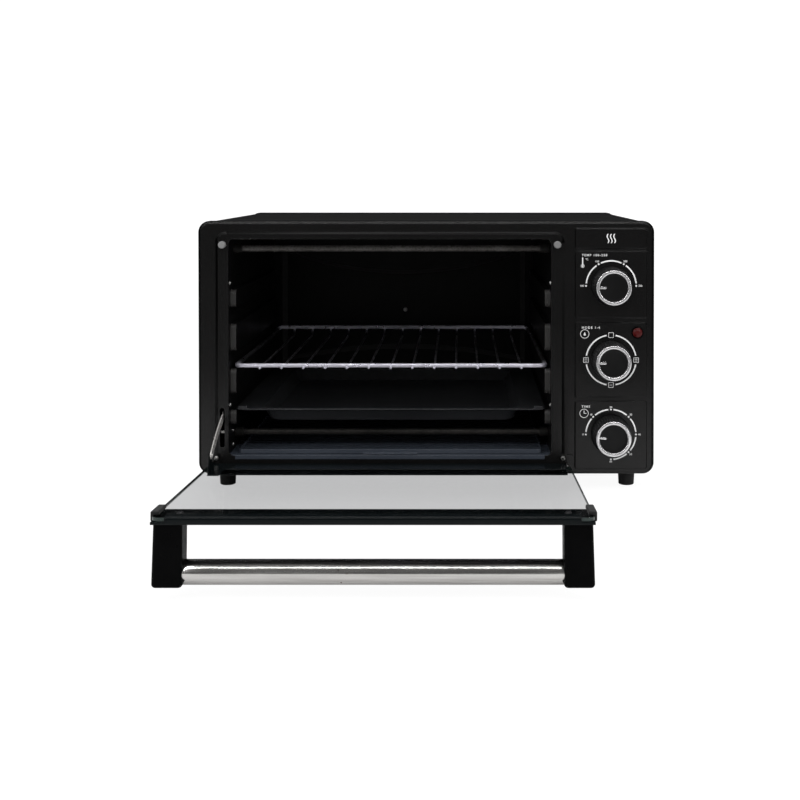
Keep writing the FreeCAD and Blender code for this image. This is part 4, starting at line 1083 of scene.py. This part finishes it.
def clock(centre):
    """Two hands in a circle."""
    return [
        circle_sign(centre),
        print_plate(line((0.0, 0.0), (0.0, 3.0 * MM), 0.3 * MM), centre),
        print_plate(line((0.0, 0.0), (2.3 * MM, 0.0), 0.3 * MM), centre),
    ]


def mode_icon(centre, bars):
    """A little oven cross-section: a soft square with a stroke for each heater in use."""
    parts = [hollow_plate(soft_square(2.9 * MM, 0.8 * MM), soft_square(2.45 * MM, 0.5 * MM), centre)]
    for height in bars:
        parts.append(print_plate(line((-1.3 * MM, height * MM), (1.3 * MM, height * MM), 0.28 * MM), centre))
    return parts


def heat_mark(centre):
    """Three rising waves: a plain sign for heat on the blank card at the top."""
    parts = []
    for shift in (-3.6, 0.0, 3.6):
        wave = [(shift + 0.9 * math.sin(2 * math.pi * i / 16), -5.0 + 10.0 * i / 16) for i in range(17)]
        outline = [(u + 0.6, v) for u, v in wave] + [(u - 0.6, v) for u, v in wave[::-1]]
        parts.append(print_plate(in_mm(outline), centre))
    return parts


TEMPERATURE_MARKS = [(180.0, "100"), (120.0, "150"), (60.0, "200"), (0.0, "250")]
MINUTE_MARKS = [
    (180.0, "0"), (135.0, "10"), (90.0, "20"), (45.0, "30"), (0.0, "40"), (-45.0, "50"), (-90.0, "60"),
]
MODE_GAP = 9.0  # degrees of arc left out at each mode's sign
MODES = ((0.0, (1.1, -1.1)), (90.0, ()), (180.0, (1.1, -1.1)), (270.0, (0.0,)))
# For each card: its caption, how far that lies above the knob, its sign, and where that lies.
CAPTIONS = (
    ("temperature", "TEMP 100-250", 33.5, thermometer, (-31.2, 25.2)),
    ("selector", "MODE 1-4", 35.5, flame, (-28.8, 28.7)),
    ("timer", "TIME", 30.5, clock, (-29.4, 23.2)),
)
CAPTION_LEFT = -32.1
HEAT_SIGN_UP = 51.8  # above the temperature knob


def beside(centre, right, up):
    """A point on the card, this many millimetres from another."""
    return (centre[0] + right * MM, centre[1] + up * MM)


def make_printing():
    """Scales, plain signs and numbers on the three dial cards, and heat waves on the blank one."""
    centres = {name: (knob_centre(name).x, knob_centre(name).z) for name in KNOB_TURN}
    ink = looks["print"]
    for name, marks in (("temperature", TEMPERATURE_MARKS), ("timer", MINUTE_MARKS)):
        mesh_piece(f"{name}_scale", merged(numbered_dial(centres[name], marks)), ink, "oven")
    at = centres["selector"]
    parts = [print_plate(outline, at) for outline in arcs_between([360.0, 270.0, 180.0, 90.0, 0.0], MODE_GAP)]
    for angle, bars in MODES:
        parts += mode_icon(at_angle(at, angle, ARC_R), bars)
    mesh_piece("selector_scale", merged(parts), ink, "oven")
    signs = []
    for name, caption, up, sign, sign_at in CAPTIONS:
        caption_at = beside(centres[name], CAPTION_LEFT, up)
        signs.append(lettering(caption, CAPTION_TEXT, caption_at, "LEFT", 1.35))
        signs += sign(beside(centres[name], *sign_at))
    mesh_piece("dial_signs", merged(signs), ink, "oven")
    waves = heat_mark(beside(centres["temperature"], 0.0, HEAT_SIGN_UP))
    mesh_piece("heat_sign", merged(waves), ink, "oven")


make_camera()
make_lights()
make_room()
make_floor()
looks = make_looks()
dress_nodes(looks)
for name in KNOB_TURN:
    make_knob(name)
make_printing()
make_rack()
make_handle_tube()
make_hinge_screws()
for width, names in SOFT_EDGES.items():
    for name in names:
        soften(name, width * MM)
